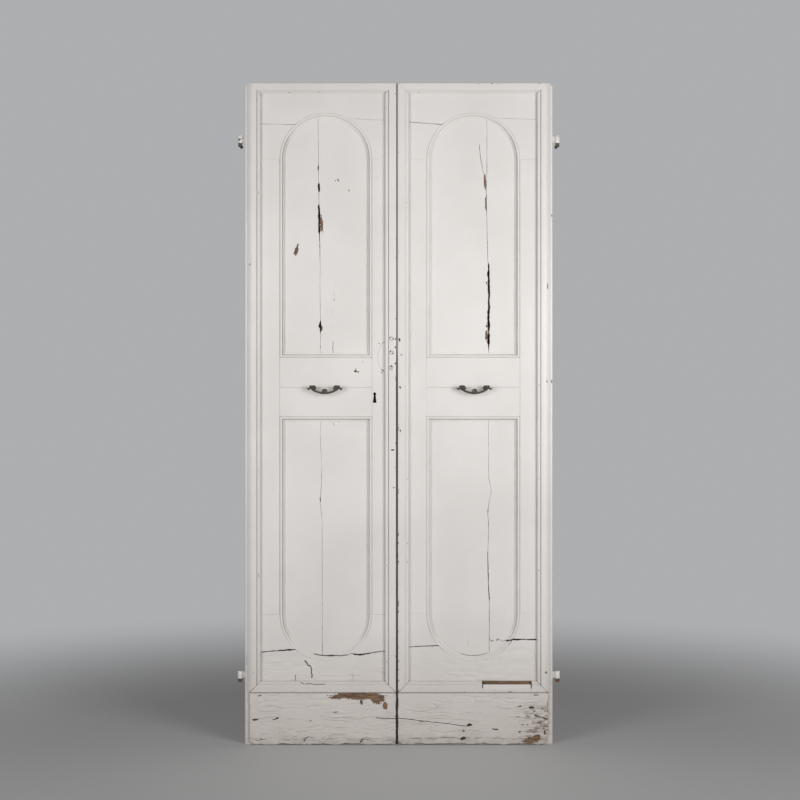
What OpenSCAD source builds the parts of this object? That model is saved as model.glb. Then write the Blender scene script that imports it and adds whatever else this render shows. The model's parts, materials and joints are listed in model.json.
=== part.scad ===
// Pair of old painted door leaves with arched panels, hung on pintles and closed by a rim lock.
// Millimetres, +Z up. The moulded front faces -Y. The origin is on the floor under the middle of the pair.
// Each leaf is drawn from its hinge edge (x = 0) to its meeting edge, and the right leaf is then mirrored.

/* [Leaves] */
// Height of both leaves
door_h = 2150; // [1950:5:2300]
// Width of the left leaf
left_leaf_w = 494.6; // [470:0.1:540]
// Width of the right leaf
right_leaf_w = 506.5; // [480:0.1:550]
// Gap between the two meeting stiles
meeting_gap = 0.9; // [0.8:0.1:3]
// Thickness of the stiles and rails
leaf_t = 36; // [34:0.5:42]
// Rounding of the front arris on the hinge edge
edge_round = 8; // [3:0.5:12]

/* [Stiles and rails] */
// Width of the left leaf's hinge stile
left_hinge_stile_w = 114; // [100:1:125]
// Width of the left leaf's meeting stile
left_meeting_stile_w = 80.6; // [76:0.1:95]
// Width of the right leaf's hinge stile
right_hinge_stile_w = 107; // [100:1:120]
// Width of the right leaf's meeting stile
right_meeting_stile_w = 95.5; // [80:0.1:105]
// Height of the top rail
top_rail_h = 126; // [112:1:140]
// Height of the bottom rail
bottom_rail_h = 316; // [300:1:330]
// Height of the joint between the two lock rails
lock_joint_z = 1161; // [1100:1:1200]
// Height of the upper lock rail
upper_lock_rail_h = 97; // [85:1:115]
// Height of the lower lock rail
lower_lock_rail_h = 95; // [85:1:115]
// Thickness of the tenons
tenon_t = 12; // [9:0.5:13]
// Width of the stile tenons
tenon_w = 44; // [30:1:50]
// Length of the stile tenons inside the rails
tenon_l = 55; // [40:1:65]
// Shoulder beside each tenon on the panel side
tenon_shoulder = 14; // [12:0.5:16]
// Length of the lock rail tenons
lock_tenon_l = 48; // [30:1:55]
// Room left on each side of a tenon or tang
joint_play = 0.2; // [0.1:0.05:0.4]

/* [Panels] */
// Drop from the top edge to the crown of the upper panel opening
crown_drop = 96; // [90:1:105]
// Height of the lowest point of the lower panel opening
heel_z = 272; // [262:1:285]
// Thickness of the panel boards
panel_t = 14; // [12:0.5:15]
// Depth of the panels behind the front of the stiles
panel_setback = 11; // [10:0.5:12]
// Depth of the grooves that hold the panels
groove_d = 10; // [8:0.5:11]
// Room between a panel's edge and the bottom of its groove
groove_end_play = 1.5; // [0.5:0.1:2.5]
// Room on each face of a panel in its groove
groove_side_play = 0.2; // [0.1:0.05:0.4]
// Joint between the two boards of a panel
board_gap = 0.6; // [0.3:0.1:1]
// Board joint of the left upper panel, from the hinge edge
left_upper_joint = 244; // [215:1:280]
// Board joint of the left lower panel, from the hinge edge
left_lower_joint = 253; // [215:1:280]
// Board joint of the right upper panel, from the hinge edge
right_upper_joint = 213; // [190:1:260]
// Board joint of the right lower panel, from the hinge edge
right_lower_joint = 210; // [190:1:260]

/* [Shrinkage splits] */
// Height of the middle of the split in the left upper panel
left_split_z = 1709; // [1600:1:1750]
// Length of the split in the left upper panel
left_split_l = 96; // [40:1:160]
// Height of the middle of the split in the right upper panel
right_split_z = 1420; // [1410:1:1600]
// Length of the split in the right upper panel
right_split_l = 284; // [100:1:290]
// Width of both splits
split_w = 5.5; // [2:0.1:8]
// Depth of both splits
split_d = 10; // [4:0.5:11]

/* [Panel mouldings] */
// Radius of the bead on the panel mouldings
panel_bead_r = 3.2; // [2.5:0.1:4]
// Radius of the hollow inside the bead
panel_cove_r = 6; // [4:0.1:6.5]
// Width of the flat inside the hollow
panel_fillet_w = 2.6; // [1.5:0.1:4]
// Depth of the panel mouldings, from the panel's face
panel_mould_h = 12; // [11.5:0.1:13]
// Joint left open at each end of a moulding strip
strip_gap = 0.1; // [0.05:0.05:0.3]

/* [Edge mouldings] */
// Width of the flat part of the edge mouldings
edge_flat_w = 23; // [18:0.5:28]
// Width of the groove beside the bead
edge_quirk_w = 1.6; // [1:0.1:2.5]
// Depth of the groove beside the bead
edge_quirk_d = 6; // [3:0.1:7]
// Radius of the bead on the edge mouldings
edge_bead_r = 5.4; // [4:0.1:6]
// Width of the flat at the foot of the bead
edge_fillet_w = 1.6; // [1:0.1:3]
// Depth of the edge mouldings, from the front of the stiles
edge_mould_h = 13; // [12:0.1:16]
// Rounding of the outer arris of the edge mouldings
edge_mould_round = 4; // [2:0.1:6]
// Bare lip left between the hinge edge and the edge moulding
lip_w = 16; // [12:0.5:20]
// Setback of the mouldings from the meeting edge
meeting_setback = 2.5; // [1:0.1:5]
// Start of the lost bead on the right bottom moulding, from the hinge edge
lost_bead_from = 72; // [60:1:100]
// Length of the lost bead
lost_bead_l = 158; // [60:1:200]

/* [Kick boards] */
// Height of the kick boards
kick_h = 170; // [140:1:185]
// Thickness of the kick boards
kick_t = 10; // [8:0.5:12]
// Width of the worn corner on the right kick board
worn_corner_w = 9; // [4:0.5:14]
// Height of the worn corner on the right kick board
worn_corner_h = 62; // [30:1:90]

/* [Hinges] */
// Drop from the top edge to the middle of the upper hinges
upper_hinge_drop = 180; // [160:1:195]
// Height of the middle of the lower hinges
lower_hinge_z = 224; // [210:1:240]
// Distance from the hinge edge out to the hinge axis
hinge_out = 16.5; // [14:0.1:20]
// Outer diameter of the hinge eyes
eye_d = 16.5; // [14:0.1:18]
// Height of the hinge eyes
eye_h = 24; // [20:0.5:28]
// Thickness of the tang that joins each eye to its leaf
tang_t = 5; // [4:0.1:6]
// Height of the tang
tang_h = 20; // [16:0.5:20]
// Length of the tang inside the leaf
tang_l = 28; // [20:0.5:32]
// Diameter of the pintle pins
pin_d = 9; // [7:0.1:10]
// Running clearance between pin and eye, on the radius
pin_play = 0.05; // [0.02:0.01:0.1]
// Gap under the eye, above the pintle's shoulder
seat_gap = 0.3; // [0.2:0.05:0.6]
// Width and depth of the pintle's shoulder
shoulder_w = 12; // [11:0.1:14]
// Height of the pintle's shoulder
shoulder_h = 11; // [10.5:0.1:14]
// Diameter of the pintle's shank
shank_d = 10; // [8:0.1:10]
// Length of the round part of the shank
shank_l = 38; // [30:1:60]
// Length of the shank's point
shank_point_l = 8; // [5:0.5:12]

/* [Pulls] */
// Height of the pulls' posts
pull_z = 1160; // [1120:1:1180]
// Shift of the pulls from the middle of the panels, towards the hinge edge
pull_shift = 3; // [0:0.5:10]
// Distance between the posts of a pull
pull_span = 74; // [64:1:96]
// Reach of the pulls in front of the lock rails
pull_out = 34; // [30:0.5:40]
// Radius of the pull's bar
pull_bar_r = 3.6; // [3:0.1:5]
// Drop of the bar below the posts
pull_dip = 15; // [8:0.5:20]
// Length of the pointed tips outside the posts
pull_tip_l = 16.5; // [10:0.5:22]

/* [Lock] */
// Distance of the keyhole from the meeting edge
keyhole_backset = 72; // [66:0.5:74]
// Height of the keyhole
keyhole_z = 1128; // [1115:1:1130]
// Diameter of the round head of the keyhole
key_head_d = 9; // [7:0.1:11]
// Width of the foot of the keyhole
key_foot_w = 11; // [8:0.1:12]
// Height of the keyhole
keyhole_h = 33; // [28:0.5:36]
// Width of the lock case
case_w = 100; // [92:1:120]
// Height of the lock case
case_h = 86; // [80:1:110]
// Depth of the lock case
case_d = 20; // [18:0.5:26]
// Wall of the lock case and keeper
case_wall = 2.5; // [2:0.1:3]
// Setback of lock and keeper from the meeting edges
lock_setback = 4; // [3:0.1:6]
// Height of the bolt above the keyhole
bolt_rise = 20; // [16:0.5:24]
// Height of the bolt's head
bolt_h = 22; // [16:0.5:24]
// Thickness of the bolt's head
bolt_t = 10; // [8:0.5:12]
// Length of the bolt's head
bolt_head_l = 32; // [30:0.5:36]
// Length of the bolt's tail
bolt_tail_l = 34; // [25:0.5:40]
// Travel of the bolt
bolt_throw = 20; // [12:0.5:20]
// Room round the bolt
bolt_play = 0.4; // [0.3:0.05:0.8]
// Length of the keeper
keeper_l = 32; // [26:0.5:44]

/* [Hidden] */
node = "all";
$fn = 48;
LEFT = 0;
RIGHT = 1;
SIDES = ["left", "right"];
LEAF_PARTS = [
    "hinge_stile", "meeting_stile", "top_rail", "bottom_rail", "upper_lock_rail", "lower_lock_rail",
    "top_outer_spandrel", "top_inner_spandrel", "bottom_outer_spandrel", "bottom_inner_spandrel",
    "upper_outer_board", "upper_inner_board", "lower_outer_board", "lower_inner_board",
    "upper_panel_moulding", "lower_panel_moulding",
    "top_moulding", "bottom_moulding", "outer_moulding", "inner_moulding", "kick_board",
    "upper_hinge_eye", "lower_hinge_eye", "upper_pintle", "lower_pintle", "pull_handle"];
LOCK_PARTS = ["lock_case", "lock_bolt", "lock_keeper"];
NODES = concat([for (side = SIDES) for (part = LEAF_PARTS) str(side, "_", part)], LOCK_PARTS);

PAINT = [0.86, 0.855, 0.83];
IRON = [0.29, 0.28, 0.25];
EPS = 1;

leaf_w = [left_leaf_w, right_leaf_w];
hinge_stile_w = [left_hinge_stile_w, right_hinge_stile_w];
meeting_stile_w = [left_meeting_stile_w, right_meeting_stile_w];
upper_joint = [left_upper_joint, right_upper_joint];
lower_joint = [left_lower_joint, right_lower_joint];
split_z = [left_split_z, right_split_z];
split_l = [left_split_l, right_split_l];
pair_w = left_leaf_w + meeting_gap + right_leaf_w;

front_y = -leaf_t / 2;
back_y = leaf_t / 2;
panel_y = front_y + panel_setback;
top_rail_z = door_h - top_rail_h;
lock_top_z = lock_joint_z + upper_lock_rail_h;
lock_bottom_z = lock_joint_z - lower_lock_rail_h;
upper_hinge_z = door_h - upper_hinge_drop;
panel_mould_w = 2 * panel_bead_r + panel_cove_r + panel_fillet_w;
edge_mould_w = edge_flat_w + edge_quirk_w + 2 * edge_bead_r + edge_fillet_w;
tongue = groove_d - groove_end_play;

// The pair is set so that its depth, from the pulls to the shanks' points, is centred on the origin.
front_reach = leaf_t / 2 + pull_out;
back_reach = shoulder_w / 2 + shank_l + shank_point_l;
depth_shift = (front_reach - back_reach) / 2;

function arch_r(s) = (leaf_w[s] - hinge_stile_w[s] - meeting_stile_w[s]) / 2;
function arch_x(s) = hinge_stile_w[s] + arch_r(s);
function upper_spring_z(s) = door_h - crown_drop - arch_r(s);
function lower_spring_z(s) = heel_z + arch_r(s);
function inner_x(s) = leaf_w[s] - meeting_stile_w[s];

// Points of an arc about a centre, from one angle to another
function arc(centre, r, from, to, steps = 8) =
    [for (i = [0 : steps]) let (a = from + (to - from) * i / steps) centre + r * [cos(a), sin(a)]];

// Section of the hinge edge of a leaf, up to a given width, with its rounded front arris
function hinge_edge_plan(w) = concat(
    [[w, front_y], [w, back_y], [0, back_y]],
    arc([edge_round, front_y + edge_round], edge_round, 180, 270));

// Section of the panel mouldings: u inwards from the opening's edge, v out from the panel
function panel_mould_section() = let (
        bead_v = panel_mould_h - panel_bead_r,
        bead_u = 2 * panel_bead_r,
        cove_v = bead_v - panel_bead_r / 4)
    concat(
        [[0, 0]],
        arc([panel_bead_r, bead_v], panel_bead_r, 180, 0),
        arc([bead_u + panel_cove_r, cove_v], panel_cove_r, 180, 270),
        [[panel_mould_w, cove_v - panel_cove_r], [panel_mould_w, 0]]);

// Section of the edge mouldings: u inwards from the leaf's border, v out from the stile
function edge_mould_section() = let (
        bead_u = edge_flat_w + edge_quirk_w + edge_bead_r,
        bead_v = edge_mould_h - edge_quirk_w / 2 - edge_bead_r)
    concat(
        [[0, 0]],
        arc([edge_mould_round, edge_mould_h - edge_mould_round], edge_mould_round, 180, 90),
        [[edge_flat_w, edge_mould_h], [edge_flat_w + edge_quirk_w / 2, edge_mould_h - edge_quirk_d]],
        arc([bead_u, bead_v], edge_bead_r, 180, 0),
        [[bead_u + edge_bead_r, edge_fillet_w], [edge_mould_w, edge_fillet_w], [edge_mould_w, 0]]);

// Box between two corners
module block(low, high) {
    translate(low) cube(high - low);
}

// Round plate that lies in the plane of the door
module plate(x, z, r, y0, y1) {
    translate([x, y1, z]) rotate([90, 0, 0]) cylinder(r = r, h = y1 - y0);
}

// Stands a shape drawn in plan coordinates (x, z) up in the plane of the door, between two depths
module upright(y0, y1) {
    translate([0, y1, 0]) rotate([90, 0, 0]) linear_extrude(y1 - y0) children();
}

// Puts a leaf drawn from its hinge edge in its place in the pair
module placed(s) {
    translate([0, depth_shift, 0])
        mirror([s, 0, 0])
            translate([-pair_w / 2, 0, 0])
                children();
}

// Stretch of a leaf from the hinge edge inwards
module hinge_side(w, z0, z1) {
    translate([0, 0, z0]) linear_extrude(z1 - z0) polygon(hinge_edge_plan(w));
}

// Opening and groove that the arched end of a panel cuts from rails and spandrels
module arch_cut(s, z) {
    plate(arch_x(s), z, arch_r(s), front_y - EPS, back_y + EPS);
    plate(arch_x(s), z, arch_r(s) + groove_d, panel_y - groove_side_play, panel_y + panel_t + groove_side_play);
}

// Groove that the straight sides of both panels cut from stiles and lock rails
module side_grooves(s) {
    for (range = [[lower_spring_z(s), lock_bottom_z + groove_d], [lock_top_z - groove_d, upper_spring_z(s)]])
        block(
            [hinge_stile_w[s] - groove_d, panel_y - groove_side_play, range[0]],
            [inner_x(s) + groove_d, panel_y + panel_t + groove_side_play, range[1]]);
}

// Tenon of a stile, from its end through the spandrel into the rail, with play for its mortise
module stile_tenon(x, z0, z1, play) {
    block([x - play, -tenon_t / 2 - play, z0 - play], [x + tenon_w + play, tenon_t / 2 + play, z1 + play]);
}

module hinge_stile_tenons(s, play = 0) {
    x = hinge_stile_w[s] - tenon_shoulder - tenon_w;
    stile_tenon(x, upper_spring_z(s) - EPS, top_rail_z + tenon_l, play);
    stile_tenon(x, bottom_rail_h - tenon_l, lower_spring_z(s) + EPS, play);
}

module meeting_stile_tenons(s, play = 0) {
    x = inner_x(s) + tenon_shoulder;
    stile_tenon(x, upper_spring_z(s) - EPS, top_rail_z + tenon_l, play);
    stile_tenon(x, bottom_rail_h - tenon_l, lower_spring_z(s) + EPS, play);
}

// Tenons at both ends of a lock rail that reaches from z0 to z1
module lock_rail_tenons(s, z0, z1, play = 0) {
    for (x = [hinge_stile_w[s] - lock_tenon_l, inner_x(s) - EPS])
        block(
            [x - play, -tenon_t / 2 - play, z0 + tenon_shoulder - play],
            [x + lock_tenon_l + EPS + play, tenon_t / 2 + play, z1 - tenon_shoulder + play]);
}

module lock_rail_mortises(s) {
    lock_rail_tenons(s, lock_joint_z, lock_top_z, joint_play);
    lock_rail_tenons(s, lock_bottom_z, lock_joint_z, joint_play);
}

// Slots that the hinge tangs sit in
module tang_slots() {
    for (z = [lower_hinge_z, upper_hinge_z])
        block(
            [-EPS, -tang_t / 2 - joint_play, z - tang_h / 2 - joint_play],
            [tang_l + joint_play, tang_t / 2 + joint_play, z + tang_h / 2 + joint_play]);
}

// Keyhole through the left meeting stile and the tenon in it, as far as the inside of the lock
module keyhole() {
    x = left_leaf_w - keyhole_backset;
    head_z = keyhole_z + keyhole_h / 2 - key_head_d / 2;
    foot_z = keyhole_z - keyhole_h / 2;
    neck = key_head_d / 4;
    plate(x, head_z, key_head_d / 2, front_y - EPS, back_y + EPS);
    upright(front_y - EPS, back_y + EPS)
        polygon([[x - neck, head_z], [x - key_foot_w / 2, foot_z], [x + key_foot_w / 2, foot_z], [x + neck, head_z]]);
}

module hinge_stile(s) {
    color(PAINT) {
        difference() {
            hinge_side(hinge_stile_w[s], lower_spring_z(s), upper_spring_z(s));
            side_grooves(s);
            lock_rail_mortises(s);
            tang_slots();
        }
        hinge_stile_tenons(s);
    }
}

module meeting_stile(s) {
    color(PAINT) difference() {
        union() {
            block([inner_x(s), front_y, lower_spring_z(s)], [leaf_w[s], back_y, upper_spring_z(s)]);
            meeting_stile_tenons(s);
        }
        side_grooves(s);
        lock_rail_mortises(s);
        if (s == LEFT) keyhole();
    }
}

module top_rail(s) {
    color(PAINT) difference() {
        hinge_side(leaf_w[s], top_rail_z, door_h);
        arch_cut(s, upper_spring_z(s));
        hinge_stile_tenons(s, joint_play);
        meeting_stile_tenons(s, joint_play);
        tang_slots();
    }
}

module bottom_rail(s) {
    color(PAINT) difference() {
        hinge_side(leaf_w[s], 0, bottom_rail_h);
        arch_cut(s, lower_spring_z(s));
        hinge_stile_tenons(s, joint_play);
        meeting_stile_tenons(s, joint_play);
        tang_slots();
    }
}

module lock_rail(s, z0, z1) {
    color(PAINT) difference() {
        union() {
            block([hinge_stile_w[s], front_y, z0], [inner_x(s), back_y, z1]);
            lock_rail_tenons(s, z0, z1);
        }
        side_grooves(s);
        if (s == LEFT) keyhole();
    }
}

// Spandrel on the hinge side of an arch, between its spring line and the rail
module outer_spandrel(s, z0, z1, spring_z) {
    color(PAINT) difference() {
        hinge_side(arch_x(s), z0, z1);
        arch_cut(s, spring_z);
        hinge_stile_tenons(s, joint_play);
        tang_slots();
    }
}

// Spandrel on the meeting side of an arch
module inner_spandrel(s, z0, z1, spring_z) {
    color(PAINT) difference() {
        block([arch_x(s), front_y, z0], [leaf_w[s], back_y, z1]);
        arch_cut(s, spring_z);
        meeting_stile_tenons(s, joint_play);
    }
}

// Whole panel with its round end: up is 1 for the upper panel and -1 for the lower one
module panel(s, spring_z, straight_z, up) {
    r = arch_r(s) + tongue;
    x = arch_x(s);
    end_z = straight_z - up * tongue;
    block(
        [x - r, panel_y, min(spring_z, end_z)],
        [x + r, panel_y + panel_t, max(spring_z, end_z)]);
    intersection() {
        plate(x, spring_z, r, panel_y, panel_y + panel_t);
        block(
            [x - r - EPS, panel_y - EPS, min(spring_z, spring_z + up * (r + EPS))],
            [x + r + EPS, panel_y + panel_t + EPS, max(spring_z, spring_z + up * (r + EPS))]);
    }
}

// Split that tapers to a point at both ends, on the joint between two boards, and stops short of their backs
module shrinkage_split(x, z, l) {
    taper = l / 4;
    half = split_w / 2;
    upright(panel_y - EPS, panel_y + split_d)
        translate([x, z])
            polygon([
                [0, -l / 2], [half, -l / 2 + taper], [half, l / 2 - taper],
                [0, l / 2], [-half, l / 2 - taper], [-half, -l / 2 + taper]]);
}

// Half of the door's plane on one side of a board joint: side is 0 towards the hinges, 1 towards the meeting
module board_side(s, x, side) {
    block(
        [side == 0 ? 0 : x + board_gap / 2, panel_y - EPS, 0],
        [side == 0 ? x - board_gap / 2 : leaf_w[s], panel_y + panel_t + EPS, door_h]);
}

module upper_board(s, side) {
    color(PAINT) difference() {
        intersection() {
            panel(s, upper_spring_z(s), lock_top_z, 1);
            board_side(s, upper_joint[s], side);
        }
        shrinkage_split(upper_joint[s], split_z[s], split_l[s]);
    }
}

module lower_board(s, side) {
    color(PAINT) intersection() {
        panel(s, lower_spring_z(s), lock_bottom_z, -1);
        board_side(s, lower_joint[s], side);
    }
}

// Straight moulding along X, with u up and v to the front, and its ends mitred where asked
module mitred_run(section, w, h, l, mitre_start, mitre_end) {
    multmatrix([[0, 0, 1, 0], [0, -1, 0, 0], [1, 0, 0, 0], [0, 0, 0, 1]])
        intersection() {
            linear_extrude(l) polygon(section);
            translate([0, h + EPS, 0]) rotate([90, 0, 0]) linear_extrude(h + 2 * EPS)
                polygon([
                    [-EPS, strip_gap - EPS * mitre_start], [w + EPS, strip_gap + mitre_start * (w + EPS)],
                    [w + EPS, l - strip_gap - mitre_end * (w + EPS)], [-EPS, l - strip_gap + EPS * mitre_end]]);
        }
}

// Moulding round a panel: two sides, a cross piece at the square end and a half circle at the other
module panel_moulding(s, spring_z, straight_z, up) {
    section = panel_mould_section();
    w = panel_mould_w;
    h = panel_mould_h;
    r = arch_r(s);
    l = abs(spring_z - straight_z);
    color(PAINT)
        translate([arch_x(s), panel_y, spring_z])
            rotate([0, up > 0 ? 0 : 180, 0]) {
                rotate([90, 0, 0]) rotate_extrude(angle = 180)
                    polygon([for (p = section) [r - p[0], p[1]]]);
                translate([-r, 0, -l]) mitred_run(section, w, h, 2 * r, 1, 1);
                translate([-r, 0, 0]) rotate([0, 90, 0]) mitred_run(section, w, h, l, 0, 1);
                translate([r, 0, -l]) rotate([0, -90, 0]) mitred_run(section, w, h, l, 1, 0);
            }
}

// One side of the edge moulding, placed by its outer corner and turned about Y
module edge_run(x, z, turn, l) {
    color(PAINT)
        translate([x, front_y, z])
            rotate([0, turn, 0])
                mitred_run(edge_mould_section(), edge_mould_w, edge_mould_h, l, 1, 1);
}

function border_w(s) = leaf_w[s] - lip_w - meeting_setback;
function border_h() = door_h - kick_h;

module top_moulding(s) {
    edge_run(leaf_w[s] - meeting_setback, door_h, 180, border_w(s));
}

module outer_moulding(s) {
    edge_run(lip_w, door_h, 90, border_h());
}

module inner_moulding(s) {
    edge_run(leaf_w[s] - meeting_setback, kick_h, 270, border_h());
}

module bottom_moulding(s) {
    quirk_z = kick_h + edge_flat_w + edge_quirk_w / 2;
    difference() {
        edge_run(lip_w, kick_h, 0, border_w(s));
        if (s == RIGHT)
            upright(front_y - edge_mould_h - EPS, front_y + EPS)
                polygon([
                    [lost_bead_from, quirk_z], [lost_bead_from + lost_bead_l, quirk_z],
                    [lost_bead_from + lost_bead_l + edge_bead_r, kick_h + edge_mould_w + EPS],
                    [lost_bead_from - edge_bead_r, kick_h + edge_mould_w + EPS]]);
    }
}

module kick_board(s) {
    color(PAINT) difference() {
        block([lip_w, front_y - kick_t, 0], [leaf_w[s] - meeting_setback, front_y, kick_h]);
        if (s == RIGHT)
            upright(front_y - kick_t - EPS, front_y + EPS)
                polygon([
                    [lip_w - EPS, -EPS], [lip_w + worn_corner_w, -EPS], [lip_w + worn_corner_w / 2, worn_corner_h / 2],
                    [lip_w + worn_corner_w / 3, worn_corner_h], [lip_w - EPS, worn_corner_h + worn_corner_w]]);
    }
}

// Eye of a hinge with the tang that is let into the edge of the leaf
module hinge_eye(z) {
    color(PAINT) difference() {
        union() {
            translate([-hinge_out, 0, z - eye_h / 2]) cylinder(d = eye_d, h = eye_h);
            block([-hinge_out, -tang_t / 2, z - tang_h / 2], [tang_l, tang_t / 2, z + tang_h / 2]);
        }
        translate([-hinge_out, 0, z - eye_h / 2 - EPS]) cylinder(r = pin_d / 2 + pin_play, h = eye_h + 2 * EPS);
    }
}

// Pintle that carries an eye: shoulder, upright pin, and a shank that is driven into the post behind
module pintle(z) {
    seat_z = z - eye_h / 2 - seat_gap;
    color(IRON) translate([-hinge_out, 0, seat_z]) {
        block([-shoulder_w / 2, -shoulder_w / 2, -shoulder_h], [shoulder_w / 2, shoulder_w / 2, 0]);
        translate([0, 0, -EPS]) cylinder(d = pin_d, h = eye_h + EPS);
        translate([0, shoulder_w / 2 - EPS, -shoulder_h / 2]) rotate([-90, 0, 0]) {
            cylinder(d = shank_d, h = shank_l + EPS);
            translate([0, 0, shank_l + EPS]) cylinder(d1 = shank_d, d2 = shank_d / 3, h = shank_point_l);
        }
    }
}

// Section of the pull's fan: a foot that narrows upwards and three lobes along its top
function fan_outline(foot, top, h) = let (lobe = top / 3)
    concat(
        [[-foot, 0], [foot, 0]],
        [for (i = [1, 0, -1]) each arc([i * lobe * 2, h], lobe, 0, 180, 6)]);

// Cast pull: two scrolled bosses on posts, a bar that dips between them and a fan in the middle
module pull_handle(s) {
    bar = pull_bar_r;
    boss_r = 1.7 * bar;
    post = pull_span / 2;
    face = bar - pull_out;
    bar_end = post - 0.6 * boss_r;
    ring_r = (bar_end * bar_end + pull_dip * pull_dip) / (2 * pull_dip);
    ring_a = asin(bar_end / ring_r);
    lean = asin(1.4 * bar / pull_dip);
    color(IRON) translate([arch_x(s) - pull_shift, front_y, pull_z]) {
        translate([0, face + 1.4 * bar, 0]) rotate([-lean, 0, 0]) translate([0, 0, ring_r - pull_dip])
            rotate([90, 0, 0]) rotate([0, 0, 270 - ring_a])
                rotate_extrude(angle = 2 * ring_a) translate([ring_r, 0]) circle(r = bar);
        translate([0, face, -pull_dip])
            upright(-0.9 * bar, 0.8 * bar) polygon(fan_outline(2.7 * bar, 1.9 * bar, 2.7 * bar));
        for (way = [-1, 1]) {
            translate([way * (post - 0.4 * boss_r), face + 1.6 * bar, 0]) sphere(r = boss_r);
            translate([way * (post + 0.8 * boss_r), face + 1.9 * bar, 0.3 * bar]) {
                sphere(r = 0.85 * boss_r);
                rotate([0, way * 112, 0]) {
                    cylinder(r1 = 0.7 * boss_r, r2 = 0.55 * bar, h = pull_tip_l);
                    translate([0, 0, pull_tip_l]) sphere(r = 0.75 * bar);
                }
            }
            translate([way * post, 0, 0]) rotate([90, 0, 0]) {
                cylinder(r1 = 2.5 * bar, r2 = 2 * bar, h = bar);
                cylinder(r = 1.25 * bar, h = -face - 1.6 * bar);
            }
        }
    }
}

// Space that the bolt moves in, in a leaf's own coordinates, from x0 to x1
module bolt_way(x0, x1) {
    z = keyhole_z + bolt_rise;
    y = back_y + case_d / 2;
    block(
        [x0, y - bolt_t / 2 - bolt_play, z - bolt_h / 2 - bolt_play],
        [x1, y + bolt_t / 2 + bolt_play, z + bolt_h / 2 + bolt_play]);
}

function lock_x() = left_leaf_w - lock_setback;
function case_z() = keyhole_z + bolt_rise / 2 - case_h / 2;

module lock_case() {
    x0 = lock_x() - case_w;
    color(IRON) difference() {
        block([x0, back_y, case_z()], [lock_x(), back_y + case_d, case_z() + case_h]);
        block(
            [x0 + case_wall, back_y - EPS, case_z() + case_wall],
            [lock_x() - case_wall, back_y + case_d - case_wall, case_z() + case_h - case_wall]);
        bolt_way(lock_x() - case_wall - EPS, lock_x() + EPS);
    }
}

module lock_bolt() {
    z = keyhole_z + bolt_rise;
    y = back_y + case_d / 2;
    tail_t = bolt_t / 2;
    tail_h = bolt_h * 2 / 3;
    neck_x = lock_x() - bolt_head_l;
    color(IRON) {
        block([neck_x, y - bolt_t / 2, z - bolt_h / 2], [lock_x(), y + bolt_t / 2, z + bolt_h / 2]);
        block([neck_x - bolt_tail_l, y - tail_t / 2, z - tail_h / 2], [neck_x + EPS, y + tail_t / 2, z + tail_h / 2]);
    }
}

module lock_keeper() {
    x1 = right_leaf_w - lock_setback;
    z = keyhole_z + bolt_rise;
    half_h = bolt_h / 2 + bolt_play + case_wall;
    color(IRON) difference() {
        block([x1 - keeper_l, back_y, z - half_h], [x1, back_y + case_d, z + half_h]);
        bolt_way(x1 - keeper_l + case_wall, x1 + EPS);
    }
}

function wanted(name) = node == "all" || node == name;

for (s = [LEFT, RIGHT])
    placed(s) {
        side = str(SIDES[s], "_");
        low = lower_spring_z(s);
        high = upper_spring_z(s);
        if (wanted(str(side, "hinge_stile"))) hinge_stile(s);
        if (wanted(str(side, "meeting_stile"))) meeting_stile(s);
        if (wanted(str(side, "top_rail"))) top_rail(s);
        if (wanted(str(side, "bottom_rail"))) bottom_rail(s);
        if (wanted(str(side, "upper_lock_rail"))) lock_rail(s, lock_joint_z, lock_top_z);
        if (wanted(str(side, "lower_lock_rail"))) lock_rail(s, lock_bottom_z, lock_joint_z);
        if (wanted(str(side, "top_outer_spandrel"))) outer_spandrel(s, high, top_rail_z, high);
        if (wanted(str(side, "top_inner_spandrel"))) inner_spandrel(s, high, top_rail_z, high);
        if (wanted(str(side, "bottom_outer_spandrel"))) outer_spandrel(s, bottom_rail_h, low, low);
        if (wanted(str(side, "bottom_inner_spandrel"))) inner_spandrel(s, bottom_rail_h, low, low);
        if (wanted(str(side, "upper_outer_board"))) upper_board(s, 0);
        if (wanted(str(side, "upper_inner_board"))) upper_board(s, 1);
        if (wanted(str(side, "lower_outer_board"))) lower_board(s, 0);
        if (wanted(str(side, "lower_inner_board"))) lower_board(s, 1);
        if (wanted(str(side, "upper_panel_moulding"))) panel_moulding(s, high, lock_top_z, 1);
        if (wanted(str(side, "lower_panel_moulding"))) panel_moulding(s, low, lock_bottom_z, -1);
        if (wanted(str(side, "top_moulding"))) top_moulding(s);
        if (wanted(str(side, "bottom_moulding"))) bottom_moulding(s);
        if (wanted(str(side, "outer_moulding"))) outer_moulding(s);
        if (wanted(str(side, "inner_moulding"))) inner_moulding(s);
        if (wanted(str(side, "kick_board"))) kick_board(s);
        if (wanted(str(side, "upper_hinge_eye"))) hinge_eye(upper_hinge_z);
        if (wanted(str(side, "lower_hinge_eye"))) hinge_eye(lower_hinge_z);
        if (wanted(str(side, "upper_pintle"))) pintle(upper_hinge_z);
        if (wanted(str(side, "lower_pintle"))) pintle(lower_hinge_z);
        if (wanted(str(side, "pull_handle"))) pull_handle(s);
        if (s == LEFT && wanted("lock_case")) lock_case();
        if (s == LEFT && wanted("lock_bolt")) lock_bolt();
        if (s == RIGHT && wanted("lock_keeper")) lock_keeper();
    }
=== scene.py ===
"""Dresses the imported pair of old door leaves: worn paint, split panels, mouldings, pulls and ironwork."""

import json
import math
from types import SimpleNamespace

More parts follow.
